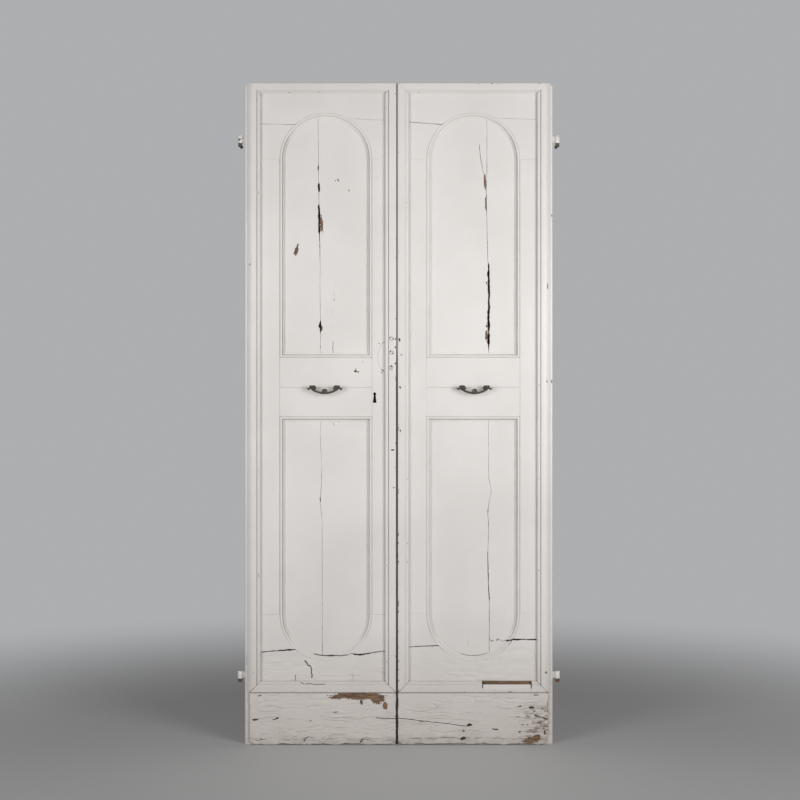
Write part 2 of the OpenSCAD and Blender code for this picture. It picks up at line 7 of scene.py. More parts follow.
import bmesh
import bpy
import numpy as np
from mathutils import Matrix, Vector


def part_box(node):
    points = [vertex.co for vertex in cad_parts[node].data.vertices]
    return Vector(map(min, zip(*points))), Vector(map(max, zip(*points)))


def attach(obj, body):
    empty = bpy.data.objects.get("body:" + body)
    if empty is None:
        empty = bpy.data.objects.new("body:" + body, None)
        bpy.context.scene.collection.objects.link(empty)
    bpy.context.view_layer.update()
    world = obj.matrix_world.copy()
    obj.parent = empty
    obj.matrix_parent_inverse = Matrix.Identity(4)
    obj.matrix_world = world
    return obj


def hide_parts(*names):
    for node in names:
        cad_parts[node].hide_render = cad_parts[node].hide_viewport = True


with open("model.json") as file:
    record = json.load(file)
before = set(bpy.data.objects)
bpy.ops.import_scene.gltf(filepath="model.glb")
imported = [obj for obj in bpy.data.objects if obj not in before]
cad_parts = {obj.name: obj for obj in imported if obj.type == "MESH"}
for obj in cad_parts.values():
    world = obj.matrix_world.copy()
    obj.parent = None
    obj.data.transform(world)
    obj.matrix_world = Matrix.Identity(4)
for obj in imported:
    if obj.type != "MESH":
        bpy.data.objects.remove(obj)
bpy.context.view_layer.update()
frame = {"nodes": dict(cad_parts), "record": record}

bl_info = {
    "name": "Old painted double door",
    "version": (1, 0, 0),
    "blender": (4, 5, 0),
    "location": "View3D > Sidebar > Old door",
    "description": "Builds the worn finish of a pair of old door leaves round their packed model",
    "category": "Object",
}

MM = 0.001
SIDES = ("left", "right")

# Lines close to an edge of a piece, so that its arris can be rounded, in millimetres from the edge
ARRIS_LINES = (0.35, 0.9, 1.7, 2.8)
HINGE_ARRIS_LINES = (0.2, 0.6, 1.2, 2.0, 3.0, 4.2, 5.5)

# Distance between lines where a crack or a chip needs them close, and the least between any two lines
FINE_STEP = 0.8
LEAST_STEP = 0.2

# Grid millimetres to one millimetre of x along the borders of a spandrel
SPANDREL_GATHER = 2.0

# Width of the eased arris at the back of a timber, and the angle from which an edge is shaded sharp
BACK_ARRIS = 1.0
SHARP_ANGLE = math.radians(38)

# Way from each edge of a grid towards its middle, along x and z
INWARD = {"low_x": (1, 0), "high_x": (-1, 0), "low_z": (0, 1), "high_z": (0, -1)}

# Wear on the backs of the timbers: dull paint all over
BACK_FIELDS = {"bare": 0.2, "crack": 0.0, "grime": 0.45}

# Shares of bare wood, of cracks with painted shade and of soiling with painted shade on the sides of a
# timber: at the hinges, where the leaves meet, inside the framing, on the panel boards and on the kick
# boards. The second share darkens a wall only where its joint stands open, as painted shade in the slit
HINGE_WALL = (0.16, 0.9, 0.3)
MEETING_WALL = (0.36, 0.9, 0.75)
INNER_WALL = (0.2, 0.0, 0.55)
BOARD_WALL = (0.9, 1.0, 0.6)
KICK_WALL = (0.45, 0.0, 0.7)

# Joints under the top rails and above the bottom rails, which have sagged: (x, z) in millimetres
HEAD_JOINT = {
    "left": ((-445, 2018), (-341, 2016), (-165, 2036), (-45, 2030)),
    "right": ((30, 2025), (167, 2014), (297, 2037), (446, 2033)),
}
FOOT_JOINT = {
    "left": ((-448, 300), (-340, 308), (-312, 313), (-126, 291), (-58, 302)),
    "right": ((23, 316), (147, 322), (297, 339), (337, 331), (354, 341), (453, 341)),
}

# How wide those joints stand open on each side: (x, millimetres)
HEAD_OPEN = {
    "left": ((-484, 0.0), (-445, 0.7), (-341, 0.9), (-165, 0.5), (-45, 0.3)),
    "right": ((30, 1.4), (160, 1.9), (297, 0.3), (446, 0.3), (484, 0.0)),
}
FOOT_OPEN = {
    "left": ((-484, 0.0), (-448, 1.5), (-340, 2.2), (-312, 2.2), (-126, 2.2), (-58, 1.7)),
    "right": ((23, 1.3), (147, 1.5), (297, 1.2), (345, 1.2), (360, 2.6), (453, 2.2), (484, 0.0)),
}

# How wide the joints between the panel boards stand open on each side: (z, millimetres)
BOARD_OPEN = {
    "left_upper": (
        (1258, 0.3), (1286, 0.3), (1292, 1.4), (1299, 0.3), (1336, 0.4), (1346, 2.4), (1362, 3.4),
        (1374, 2.2), (1381, 0.4), (1500, 0.3), (1559, 0.3), (1600, 0.7), (1660, 0.8), (1668, 2.8),
        (1709, 3.2), (1752, 2.6), (1760, 0.5), (1797, 0.5), (1802, 3.2), (1822, 3.6), (1830, 0.4),
        (1866, 0.4), (1876, 1.6), (1886, 0.4), (2052, 0.35),
    ),
    "left_lower": (
        (274, 0.4), (500, 0.35), (700, 0.3), (785, 0.4), (795, 1.3), (806, 0.4), (900, 0.25), (1066, 0.25),
    ),
    "right_upper": (
        (1258, 0.3), (1278, 0.4), (1287, 1.2), (1312, 3.0), (1340, 3.4), (1420, 3.2), (1540, 2.9),
        (1561, 2.4), (1568, 0.5), (1700, 0.5), (1732, 0.5), (1740, 0.8), (1784, 0.8), (1792, 0.5),
        (1860, 0.4), (2052, 0.22),
    ),
    "right_lower": (
        (274, 0.5), (460, 0.55), (475, 1.1), (560, 1.3), (621, 1.1), (630, 0.4), (745, 0.6), (756, 1.1),
        (768, 0.4), (1066, 0.25),
    ),
}

# How far those joints wander from a straight line: (z, millimetres along x)
BOARD_DRIFT = {
    "left_upper": (
        (1258, 1), (1340, 2), (1500, 0), (1560, 1), (1700, -2), (1800, -4), (1876, -5), (2052, -6),
    ),
    "left_lower": ((274, -1), (721, -2), (795, -8), (850, -4), (912, -3), (990, -8), (1066, -5)),
    "right_upper": (
        (1258, 5), (1366, 5), (1445, 5.5), (1545, 5.4), (1562, 4.6), (1576, 2), (1700, -1), (1800, -3),
        (1860, -1), (2052, -1),
    ),
    "right_lower": (
        (274, 4), (470, 4), (521, 1), (621, -1), (704, 2), (756, -1), (790, 4), (821, 11), (868, 2),
        (1066, 1),
    ),
}

# Cracks in the paint and the wood under it: points (x, z), half width and depth in millimetres
CRACKS = {
    "left_upper_inner_board": (
        (((-213, 1312), (-215, 1290), (-213, 1266)), 0.8, 0.7), (((-211, 1450), (-210, 1444)), 0.9, 0.6),
    ),
    "left_lower_inner_board": (
        (((-195, 1056), (-196, 1046)), 1.0, 0.6), (((-213, 1046), (-210, 1036)), 0.9, 0.6),
    ),
    "right_upper_inner_board": ((((262, 1954), (268, 1900), (272, 1880), (276, 1858)), 0.8, 0.8),),
    "right_lower_outer_board": (
        (((294, 341), (303, 334), (312, 336), (326, 340), (336, 333), (349, 336)), 1.1, 0.9),
    ),
    "left_bottom_rail": (
        (((-336, 226), (-337, 196)), 0.8, 0.6),
        (((-306, 272), (-301, 266), (-296, 258), (-288, 253)), 1.7, 1.6),
        (((-289, 254), (-284, 246), (-285, 236), (-282, 226), (-283, 217)), 1.4, 2.0),
    ),
    "left_upper_lock_rail": (
        (((-143, 1214), (-138, 1213)), 1.8, 0.8), (((-121, 1244), (-113, 1244)), 0.7, 0.4),
    ),
    "left_kick_board": (
        (((-74, 88), (-40, 85), (-9, 86)), 1.0, 0.9), (((-474, 81), (-456, 84)), 1.5, 0.9),
        (((-408, 82), (-400, 84), (-392, 89)), 1.5, 0.9), (((-308, 12), (-302, 22), (-292, 26)), 1.2, 0.8),
        (((-124, 8), (-117, 20)), 1.4, 0.8), (((-122, 146), (-118, 132)), 1.3, 0.8),
    ),
    "right_kick_board": (
        (((-3, 87), (30, 84), (69, 79), (158, 69), (215, 62)), 0.9, 0.9),
        (((440, 96), (462, 90), (482, 84)), 1.3, 1.0), (((223, 63), (229, 67), (235, 66)), 3.0, 1.4),
        (((203, 18), (210, 23), (215, 22)), 3.0, 1.4), (((208, 46), (213, 45)), 1.8, 0.9),
        (((304, 52), (322, 50)), 1.6, 0.9), (((424, 122), (438, 120)), 2.0, 1.0),
    ),
}

# Edges of lifted paint, which show by their relief and by painted shade on one side: points (x, z), half
# width and rise
RIDGES = {
    "left_upper_inner_board": ((((-198, 1536), (-206, 1480), (-214, 1429), (-213, 1330)), 1.4, 0.35),),
    "right_upper_inner_board": ((((252, 2008), (257, 1978), (262, 1950)), 1.3, 0.4),),
    "right_lower_inner_board": ((((232, 404), (229, 340), (225, 290)), 1.3, 0.35),),
    "left_bottom_rail": (
        (((-336, 224), (-280, 228), (-220, 224), (-150, 226)), 2.0, 0.7),
        (((-146, 276), (-149, 240), (-146, 212)), 1.6, 0.5),
        (((-420, 268), (-380, 274), (-330, 270)), 2.4, 0.6),
        (((-440, 232), (-400, 236), (-352, 229)), 2.6, 0.6),
        (((-262, 251), (-210, 249), (-160, 256)), 2.4, 0.6),
        (((-230, 226), (-180, 222), (-120, 230)), 2.4, 0.5),
    ),
    "right_bottom_rail": (
        (((40, 262), (90, 268), (130, 262)), 2.2, 0.5),
        (((120, 268), (170, 246), (177, 226), (196, 219)), 2.0, 0.6),
        (((300, 262), (350, 268), (420, 280)), 2.2, 0.5), (((150, 262), (200, 268), (260, 262)), 2.0, 0.5),
        (((60, 226), (120, 229), (260, 224)), 2.4, 0.4),
    ),
    "right_bottom_outer_spandrel": ((((358, 338), (352, 320), (360, 300)), 1.6, 0.5),),
    "left_kick_board": (
        (((-468, 60), (-430, 54), (-380, 58)), 2.0, 0.9), (((-360, 88), (-330, 86), (-290, 79)), 2.0, 0.8),
        (((-448, 36), (-400, 42), (-340, 30)), 2.2, 0.9),
        (((-300, 128), (-250, 133), (-215, 125)), 2.4, 0.9),
        (((-250, 42), (-190, 37), (-130, 44)), 2.2, 0.9), (((-226, 88), (-160, 94), (-120, 90)), 2.6, 1.0),
        (((-110, 26), (-60, 22), (-20, 28)), 2.2, 1.0), (((-470, 126), (-420, 132), (-370, 122)), 2.4, 0.8),
        (((-380, 18), (-330, 14), (-280, 22)), 2.2, 0.9),
    ),
    "right_kick_board": (
        (((12, 36), (50, 32), (90, 36)), 2.2, 1.0), (((60, 140), (110, 146), (150, 138)), 2.6, 0.8),
        (((332, 152), (350, 142), (396, 137), (440, 141)), 2.2, 1.2),
        (((300, 126), (330, 124), (372, 118)), 2.2, 0.9), (((352, 92), (390, 94), (420, 87)), 2.2, 1.1),
        (((376, 66), (400, 62), (430, 66), (470, 58)), 2.2, 1.0),
        (((240, 14), (270, 10), (310, 13)), 2.2, 0.9), (((150, 108), (200, 104), (240, 110)), 2.4, 0.8),
        (((20, 118), (70, 112), (110, 116)), 2.4, 0.8), (((110, 24), (150, 30), (190, 26)), 2.2, 0.8),
    ),
}

# Places where the paint is gone: (x, z), half length along x and along z, depth and tilt in degrees
CHIPS = {
    "left_upper_outer_board": ((-335, 1605, 6.4, 15, 0.8, -14), (-330, 1621, 2.8, 8, 0.6, -10)),
    "left_upper_inner_board": (
        (-252, 1694, 5.2, 27, 1.2, 3), (-252, 1354, 4.0, 9, 0.8, 0), (-198, 1839, 2.4, 2.8, 0.4, 0),
        (-196, 1834, 1.6, 2, 0.3, 0), (-162, 1803, 2.4, 3.2, 0.4, 0), (-206, 1835, 1.4, 1.8, 0.3, 0),
    ),
    "right_upper_inner_board": (
        (281, 1829, 4.0, 26, 1.0, 4), (284, 1760, 2.8, 22, 0.8, 2), (286, 1331, 4.6, 16, 0.9, 0),
        (286, 1502, 2.4, 4, 0.6, 0), (286, 1362, 2.2, 7, 0.6, 0),
    ),
    "right_upper_outer_board": ((296, 1424, 2.8, 6, 0.7, 0), (295, 1476, 1.8, 8, 0.5, 0)),
    "left_kick_board": (
        (-130, 159, 74, 12, 1.0, 0), (-196, 156, 26, 7.5, 0.8, 6), (-72, 152, 26, 17, 1.0, -16),
        (-44, 128, 8.5, 13, 0.9, 12), (-122, 138, 5, 8, 0.7, 0), (-466, 81, 8, 2.4, 0.8, 6),
        (-395, 86, 5, 3.0, 0.8, 10), (-286, 79, 2.6, 1.8, 0.6, 0), (-448, 20, 2.6, 2.2, 0.7, 0),
        (-452, 160, 8, 1.8, 0.5, 12), (-204, 107, 9, 1.8, 0.5, 4), (-122, 12, 5, 2.0, 0.8, 0),
    ),
    "right_kick_board": (
        (432, 16, 28, 11, 1.2, 8), (448, 24, 13, 9, 1.2, 0), (228, 64, 6.5, 3.6, 1.0, 12),
        (208, 20, 6, 3.4, 1.0, 20), (209, 46, 3, 2, 0.7, 0), (313, 51, 9, 1.8, 0.8, -5),
        (72, 77, 8, 2.0, 0.8, -6), (394, 125, 6, 2.2, 0.8, 8), (430, 121, 8, 3.2, 0.9, 16),
        (440, 110, 5, 1.8, 0.6, 0), (446, 162, 9, 1.8, 0.6, 0), (420, 93, 5, 1.8, 0.7, 0),
        (478, 84, 10, 2.4, 0.9, -8), (386, 91, 7, 1.6, 0.7, 0), (392, 42, 6, 1.8, 0.6, 8),
        (474, 40, 4, 8, 0.9, 0), (402, 66, 5, 1.6, 0.6, 0), (484, 134, 3, 5, 0.6, 0),
    ),
    "left_upper_lock_rail": (
        (-141, 1214, 5.0, 4.2, 0.8, 0), (-132, 1211, 3.0, 2.2, 0.6, 0), (-139, 1221, 1.8, 1.6, 0.5, 0),
    ),
    "left_meeting_stile": (
        (-64, 1304, 1.8, 2.2, 0.5, 0), (-52, 1216, 3.0, 2.4, 0.6, 0), (-56, 1209, 2.0, 2.0, 0.5, 0),
    ),
    "right_hinge_stile": ((498, 1720, 2, 4, 0.4, 0), (497, 1180, 2, 5, 0.4, 0)),
    "right_bottom_rail": ((474, 235, 2.4, 3.4, 1.5, 0), (483, 238, 2, 3, 1.2, 0), (489, 214, 4, 6, 0.8, 0)),
    "left_bottom_rail": ((-492, 196, 3, 8, 0.6, 0),),
}

# Marks on the mouldings, most of them from a lost lock plate: (x, z), half length along x and z, darkness
MOULDING_CHIPS = {
    "left_inner_moulding": (
        (-28, 1322, 2.4, 2.2, 0.8), (-18, 1318, 2.0, 2.4, 0.8), (-27, 1278, 2.6, 2.4, 0.7),
        (-19, 1271, 2.2, 2.4, 0.8), (-24, 1229, 2.8, 2.6, 0.8), (-11, 1318, 2, 3, 0.9),
        (-11, 1290, 2, 4, 0.7), (-11, 1238, 2, 4, 0.8), (-20, 958, 6, 2.2, 0.8), (-16, 836, 3, 2, 0.8),
    ),
    "right_inner_moulding": (
        (2, 1316, 3.4, 5, 0.8), (8, 1267, 2.6, 2.4, 0.8), (5, 1161, 2.4, 5, 0.6), (5, 1020, 2.4, 4, 0.5),
        (22, 1550, 2, 3, 0.4),
    ),
    "right_outer_moulding": ((484, 1490, 2, 9, 0.4), (481, 1180, 2, 5, 0.4), (478, 236, 4, 3, 0.7)),
    "left_outer_moulding": ((-484, 1560, 2, 4, 0.3), (-470, 236, 4, 2, 0.5)),
    "right_lower_panel_moulding": (
        (353, 336, 5, 2.2, 0.9), (360, 338, 5, 2.2, 0.9), (367, 340, 4, 2.2, 0.9),
    ),
    "left_upper_panel_moulding": (
        (-207, 2034, 5, 2.2, 0.2), (-194, 2029, 6, 2.2, 0.2), (-186, 2022, 3, 2, 0.3),
    ),
}

# Cracks along mouldings: points (x, z) and half width
MOULDING_CRACKS = {
    "left_bottom_moulding": (
        (((-322, 209), (-318, 204), (-310, 200)), 1.3),
        (((-304, 198), (-290, 200), (-272, 197), (-240, 198)), 1.1),
    ),
    "left_lower_panel_moulding": (
        (((-232, 286), (-218, 286), (-204, 288), (-190, 287), (-176, 290), (-164, 291), (-153, 296)), 1.3),
    ),
}

# How dark the painted shade and soiling in the lines of the edge mouldings are, and how deep the paint has
# left their quirks, as shares
MOULDING_LINES = {
    "left_top_moulding": (0.05, 0.0),
    "left_bottom_moulding": (0.2, 0.4),
    "left_outer_moulding": (0.25, 0.82),
    "left_inner_moulding": (0.75, 1.0),
    "right_top_moulding": (0.05, 0.0),
    "right_bottom_moulding": (0.2, 0.4),
    "right_outer_moulding": (0.45, 0.82),
    "right_inner_moulding": (0.25, 0.5),
}

# Stretch along x where each lower panel has shrunk away from the foot of its moulding
HEEL_GAP = {"left": (-292, -200), "right": (185, 306)}

# Ends of the stretch where the right bottom moulding has lost its bead, along x
LOST_BEAD = (272.0, 430.0)

# Mark of a lost lock plate beside the meeting edge of the left leaf: its middle, inwards from the edge and
# along z, its half width and half height, and the stretches of x and z that need close lines for it
LOCK_MARK = (22, 1260, 40, 56)
LOCK_MARK_X = (-73, -46)
LOCK_MARK_Z = (1198, 1326)

# Middles of the stopped screw holes of that plate: (x, z)
LOCK_HOLES = ((-24, 1319), (-24, 1274), (-25, 1226))

# Width of the panel mouldings, and how far the panel boards reach into the framing, in millimetres
PANEL_MOULDING_W = 15.0
TONGUE = 3.0

# Paint that skirts the lip beside the outer mouldings, in millimetres, and how much rounder they are
OUTER_SKIRT = 9.0
OUTER_ROUNDING = 4.2

# Height of the middle of the pulls and half the distance between their posts, in millimetres
PULL_Z = 1160.0
PULL_POST = 37.0

# Shallow hollows that stayed under the paint: (x, z), half length along x and along z, depth
DENTS = {
    "left_lower_lock_rail": ((-104, 1140, 9, 7, 0.5), (-330, 1086, 14, 6, 0.4)),
    "left_upper_lock_rail": ((-139, 1211, 8, 6, 0.9), (-300, 1220, 16, 7, 0.4)),
    "right_upper_lock_rail": ((150, 1228, 14, 6, 0.4), (330, 1196, 10, 7, 0.4)),
    "right_lower_lock_rail": ((322, 1098, 14, 7, 0.4),),
    "left_bottom_rail": ((-210, 236, 34, 12, 0.7), (-392, 250, 36, 11, 0.6), (-110, 262, 22, 9, 0.5)),
    "right_bottom_rail": ((90, 240, 40, 11, 0.5), (190, 252, 18, 12, 0.6), (330, 246, 36, 9, 0.5)),
    "left_kick_board": ((-330, 120, 44, 12, 0.8), (-180, 70, 36, 9, 0.7), (-420, 110, 24, 10, 0.6)),
    "right_kick_board": ((120, 110, 50, 13, 0.8), (280, 88, 34, 12, 0.7), (420, 104, 40, 10, 0.9)),
}

# Paint that has lifted into a fold: points (x, z), half width and rise
FOLDS = {
    "left_bottom_rail": ((((-300, 274), (-292, 264), (-283, 254), (-277, 240), (-275, 218)), 4.5, 2.2),),
    "left_kick_board": ((((-236, 110), (-204, 108), (-172, 104)), 3.2, 1.4),),
}


def colour_setting(name, description, default):
    """Colour that a user may change."""
    return bpy.props.FloatVectorProperty(name=name, description=description, subtype="COLOR", default=default)


def length_setting(name, description, size):
    """Length that a user may change, given in millimetres."""
    return bpy.props.FloatProperty(name=name, description=description, unit="LENGTH", default=size * MM)


def power_setting(name, description, watts):
    """Power of a lamp that a user may change."""
    return bpy.props.FloatProperty(name=name, description=description, unit="POWER", default=watts)


class DoorPaint(bpy.types.PropertyGroup):
    """Colours of the paint, of the wood that shows through it, and of the soiling, cracks and painted shade
    on it.
    """

    paint: colour_setting("Paint", "Colour of the clean paint", (0.742, 0.716, 0.69))
    paint_shade: colour_setting("Dull paint", "Colour of the paint in its dull clouds", (0.69, 0.664, 0.638))
    # Colour of soiling, and of the painted shade in corners, quirks, hollows, creases and joints
    grime: colour_setting("Grime", "Colour of the dirt in corners and along the foot", (0.325, 0.295, 0.25))
    # Darker, warmer colour that the paint turns towards near the foot of the leaves
    foot_tone: colour_setting("Dust", "Colour of the dust that dulls the foot of the leaves", (0.43, 0.325, 0.275))
    wood: colour_setting("Wood", "Colour of the bare wood", (0.27, 0.166, 0.098))
    wood_dark: colour_setting("Dark wood", "Colour of the dark streaks in that wood", (0.085, 0.05, 0.028))
    # Near-black of cracks and open joints, also painted as shade in open slits, in the gap between the
    # leaves, in the keyhole and in the quirks of the mouldings
    crack: colour_setting("Crack", "Colour deep inside cracks and open joints", (0.03, 0.022, 0.015))


class DoorIron(bpy.types.PropertyGroup):
    """Colours of the cast and forged iron, and its fine sizes."""

    cast: colour_setting("Cast iron", "Colour of the cast pulls", (0.075, 0.066, 0.05))
    forged: colour_setting("Forged iron", "Colour of the pintles and the lock", (0.09, 0.075, 0.06))
    rust: colour_setting("Rust", "Colour of the rust", (0.15, 0.062, 0.026))
    pull_skin: length_setting("Pull detail", "Size of the voxels that the pulls are fused with", 0.6)
    screw_radius: length_setting("Screw head radius", "Radius of the screw heads on the lock and keeper", 4.2)


class DoorMouldings(bpy.types.PropertyGroup):
    """Sizes of the moulding sections."""

    edge_flat: length_setting("Edge flat", "Width of the flat part of the edge mouldings", 23)
    edge_quirk: length_setting("Edge quirk", "Width of the groove beside the bead", 1.6)
    edge_quirk_depth: length_setting("Edge quirk depth", "Depth of the groove beside the bead", 6)
    edge_bead: length_setting("Edge bead", "Radius of the bead on the edge mouldings", 5.4)
    edge_round: length_setting("Edge rounding", "Rounding of the outer arris of the edge mouldings", 4)
    panel_bead: length_setting("Panel bead", "Radius of the bead on the panel mouldings", 4.3)
    panel_cove: length_setting("Panel hollow", "Radius of the hollow inside that bead", 4.2)
    step: length_setting("Step", "Distance between the stations along a moulding", 9)


class DoorTimber(bpy.types.PropertyGroup):
    """Sizes of the timber meshes and of their arrises."""

    step: length_setting("Step", "Distance between the lines of a timber's front", 5)
    hinge_round: length_setting("Hinge edge", "Rounding of the front arris on the hinge edges", 5.5)
    worn_round: length_setting("Worn arris", "Rounding of the arrises that hands and feet have worn", 2.2)
    joint_round: length_setting("Painted joint", "Rounding beside joints that paint has nearly filled", 0.55)
    unevenness: length_setting("Unevenness", "Depth of the plane marks under the paint", 0.35)


class DoorStage(bpy.types.PropertyGroup):
    """Floor, lamps and camera."""

    floor: colour_setting("Floor", "Colour of the floor", (0.56, 0.56, 0.56))
    background: colour_setting("Background", "Colour seen behind the leaves", (0.42, 0.425, 0.435))
    ambient: bpy.props.FloatProperty(
        name="Ambient", description="Strength of the light from all round", default=0.19
    )
    key: power_setting("Key lamp", "Power of the lamp in front on the right", 22.0)
    fill: power_setting("Fill lamp", "Power of the lamp in front on the left", 17.4)
    window: power_setting("Window lamp", "Power of the small lamp beside the right leaf", 0.22)
    view_width: length_setting("View width", "Width that the picture covers at the leaves", 2602)
    distance: length_setting("Camera distance", "Distance from the camera to the leaves", 5000)
    eye_height: length_setting("Camera height", "Height of the camera above the floor", 1120)


GROUPS = {
    "old_door_paint": DoorPaint,
    "old_door_iron": DoorIron,
    "old_door_mouldings": DoorMouldings,
    "old_door_timber": DoorTimber,
    "old_door_stage": DoorStage,
}


def settings(name):
    """Property group of that name on the scene."""
    return getattr(bpy.context.scene, "old_door_" + name)


def lengths(name):
    """Sizes of a property group that holds only lengths, in millimetres."""
    group = settings(name)
    keys = GROUPS["old_door_" + name].__annotations__
    return SimpleNamespace(**{key: getattr(group, key) / MM for key in keys})


def span(node):
    """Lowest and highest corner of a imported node, in millimetres."""
    low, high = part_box(node)
    return np.array(low) / MM, np.array(high) / MM


def smooth(value):
    """Eases a value from 0 to 1."""
    value = np.clip(value, 0, 1)
    return value * value * (3 - 2 * value)


def noise(a, b, seed):
    """Smooth random field from 0 to 1 over two coordinates, with cells of size 1."""
    a, b = np.broadcast_arrays(np.asarray(a, float), np.asarray(b, float))
    cell_a, cell_b = np.floor(a), np.floor(b)
    part_a, part_b = smooth(a - cell_a), smooth(b - cell_b)

    def corner(i, j):
        value = np.sin((cell_a + i) * 127.1 + (cell_b + j) * 311.7 + seed * 74.7) * 43758.5453
        return value - np.floor(value)

    low = corner(0, 0) * (1 - part_a) + corner(1, 0) * part_a
    high = corner(0, 1) * (1 - part_a) + corner(1, 1) * part_a
    return low * (1 - part_b) + high * part_b


def waver(a, seed):
    """Smooth random line from 0 to 1 along one coordinate, with cells of size 1."""
    return noise(a, 0, seed)


def quarter_round(near):
    """Depth of a quarter circle as a share of its radius, from 0 at its inner end to 1 at the edge."""
    return 1 - np.sqrt(np.maximum(1 - near * near, 0))


def deepen(fields, **more):
    """Lets each field of wear, soiling and painted shade keep the greater of what it has and what is given.
    """
    for key, value in more.items():
        fields[key] = np.maximum(fields[key], value)


def heel_gap(leaf, x, z):
    """Share to which the foot of a lower panel stands open, at places on the panel or its moulding."""
    start, end = HEEL_GAP[leaf.side]
    fade = 24
    return smooth((x - start) / fade) * smooth((end - x) / fade) * (z < leaf.low_spring)


def along(pairs, at):
    """Value at a place on a broken line given by (place, value) pairs."""
    places, values = zip(*pairs)
    return np.interp(at, places, values)


def to_line(x, z, points):
    """Distance from each place to a broken line."""
    nearest = np.full_like(x, 1e9)
    for (ax, az), (bx, bz) in zip(points, points[1:]):
        length2 = (bx - ax) ** 2 + (bz - az) ** 2
        t = np.clip(((x - ax) * (bx - ax) + (z - az) * (bz - az)) / length2, 0, 1)
        nearest = np.minimum(nearest, np.hypot(x - ax - t * (bx - ax), z - az - t * (bz - az)))
    return nearest


def seed_of(name):
    """Fixed number for a piece's name."""
    return sum((i + 1) * ord(letter) for i, letter in enumerate(name)) % 997


class Leaf:
    """Places on one leaf in millimetres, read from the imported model."""

    def __init__(self, side):
        self.side = side
        self.body = side + "_leaf"
        self.left = side == "left"
        upper_low, upper_high = self.box("upper_panel_moulding")
        lower_low, lower_high = self.box("lower_panel_moulding")
        hinge_low, hinge_high = self.box("hinge_stile")
        meeting_low, meeting_high = self.box("meeting_stile")
        self.low_x = min(hinge_low[0], meeting_low[0])
        self.high_x = max(hinge_high[0], meeting_high[0])
        self.front, self.back = hinge_low[1], hinge_high[1]
        self.open_low, self.open_high = upper_low[0], upper_high[0]
        self.arch_x = (self.open_low + self.open_high) / 2
        self.arch_r = (self.open_high - self.open_low) / 2
        self.high_spring = upper_high[2] - self.arch_r
        self.low_spring = lower_low[2] + self.arch_r
        self.lock_top, self.lock_bottom = upper_low[2], lower_high[2]
        self.panel_front = upper_high[1]
        self.panel_back = self.box("upper_outer_board")[1][1]
        self.mould_front = upper_low[1]
        self.head_z = self.box("top_rail")[0][2]
        self.top_z = self.box("top_rail")[1][2]
        self.foot_z = self.box("bottom_rail")[1][2]
        self.lock_joint = self.box("upper_lock_rail")[0][2]

    def box(self, part):
        """Lowest and highest corner of one of the leaf's nodes."""
        return span(self.side + "_" + part)

    def arch_rise(self, x, grow=0.0):
        """Height of the arch above its spring line at x."""
        r = self.arch_r + grow
        return np.sqrt(np.maximum(r * r - (x - self.arch_x) ** 2, 0))

    def head_joint(self, x):
        """Height of the joint under the top rail."""
        return along(HEAD_JOINT[self.side], x)

    def foot_joint(self, x):
        """Height of the joint above the bottom rail."""
        return along(FOOT_JOINT[self.side], x)


LEAVES = [Leaf(side) for side in SIDES]


def spaced(low, high, step, fine=(), low_lines=ARRIS_LINES, high_lines=ARRIS_LINES):
    """Grid lines from low to high: even in between, close at both ends and in the fine stretches."""
    count = max(2, round((high - low) / step))
    lines = [np.linspace(low, high, count + 1), low + np.array(low_lines), high - np.array(high_lines)]
    for start, end in fine:
        lines.append(np.arange(start, end, FINE_STEP))
    lines = np.unique(np.concatenate(lines))
    lines = lines[(lines > low) & (lines < high)]
    kept = [low]
    for line in lines:
        if line - kept[-1] > LEAST_STEP and high - line > LEAST_STEP:
            kept.append(line)
    return np.array(kept + [high])


def fine_stretches(name):
    """Stretches of x and of z that need close lines for the cracks and small chips of a piece."""
    xs, zs = [], []
    for points, width, _ in CRACKS.get(name, ()):
        across, up = zip(*points)
        upright = max(up) - min(up) > max(across) - min(across)
        near = 2.5 * width
        slopes = [abs(bz - az) / (abs(bx - ax) + 0.1) for (ax, az), (bx, bz) in zip(points, points[1:])]
        slant = any(0.4 < slope < 2.5 for slope in slopes)
        if upright or slant:
            xs.append((min(across) - near, max(across) + near))
        if slant or not upright:
            zs.append((min(up) - near, max(up) + near))
    for x, z, rx, rz, _, _ in CHIPS.get(name, ()):
        if rx < 6:
            xs.append((x - 2 * rx, x + 2 * rx))
        if rz < 6:
            zs.append((z - 2 * rz, z + 2 * rz))
    return xs, zs


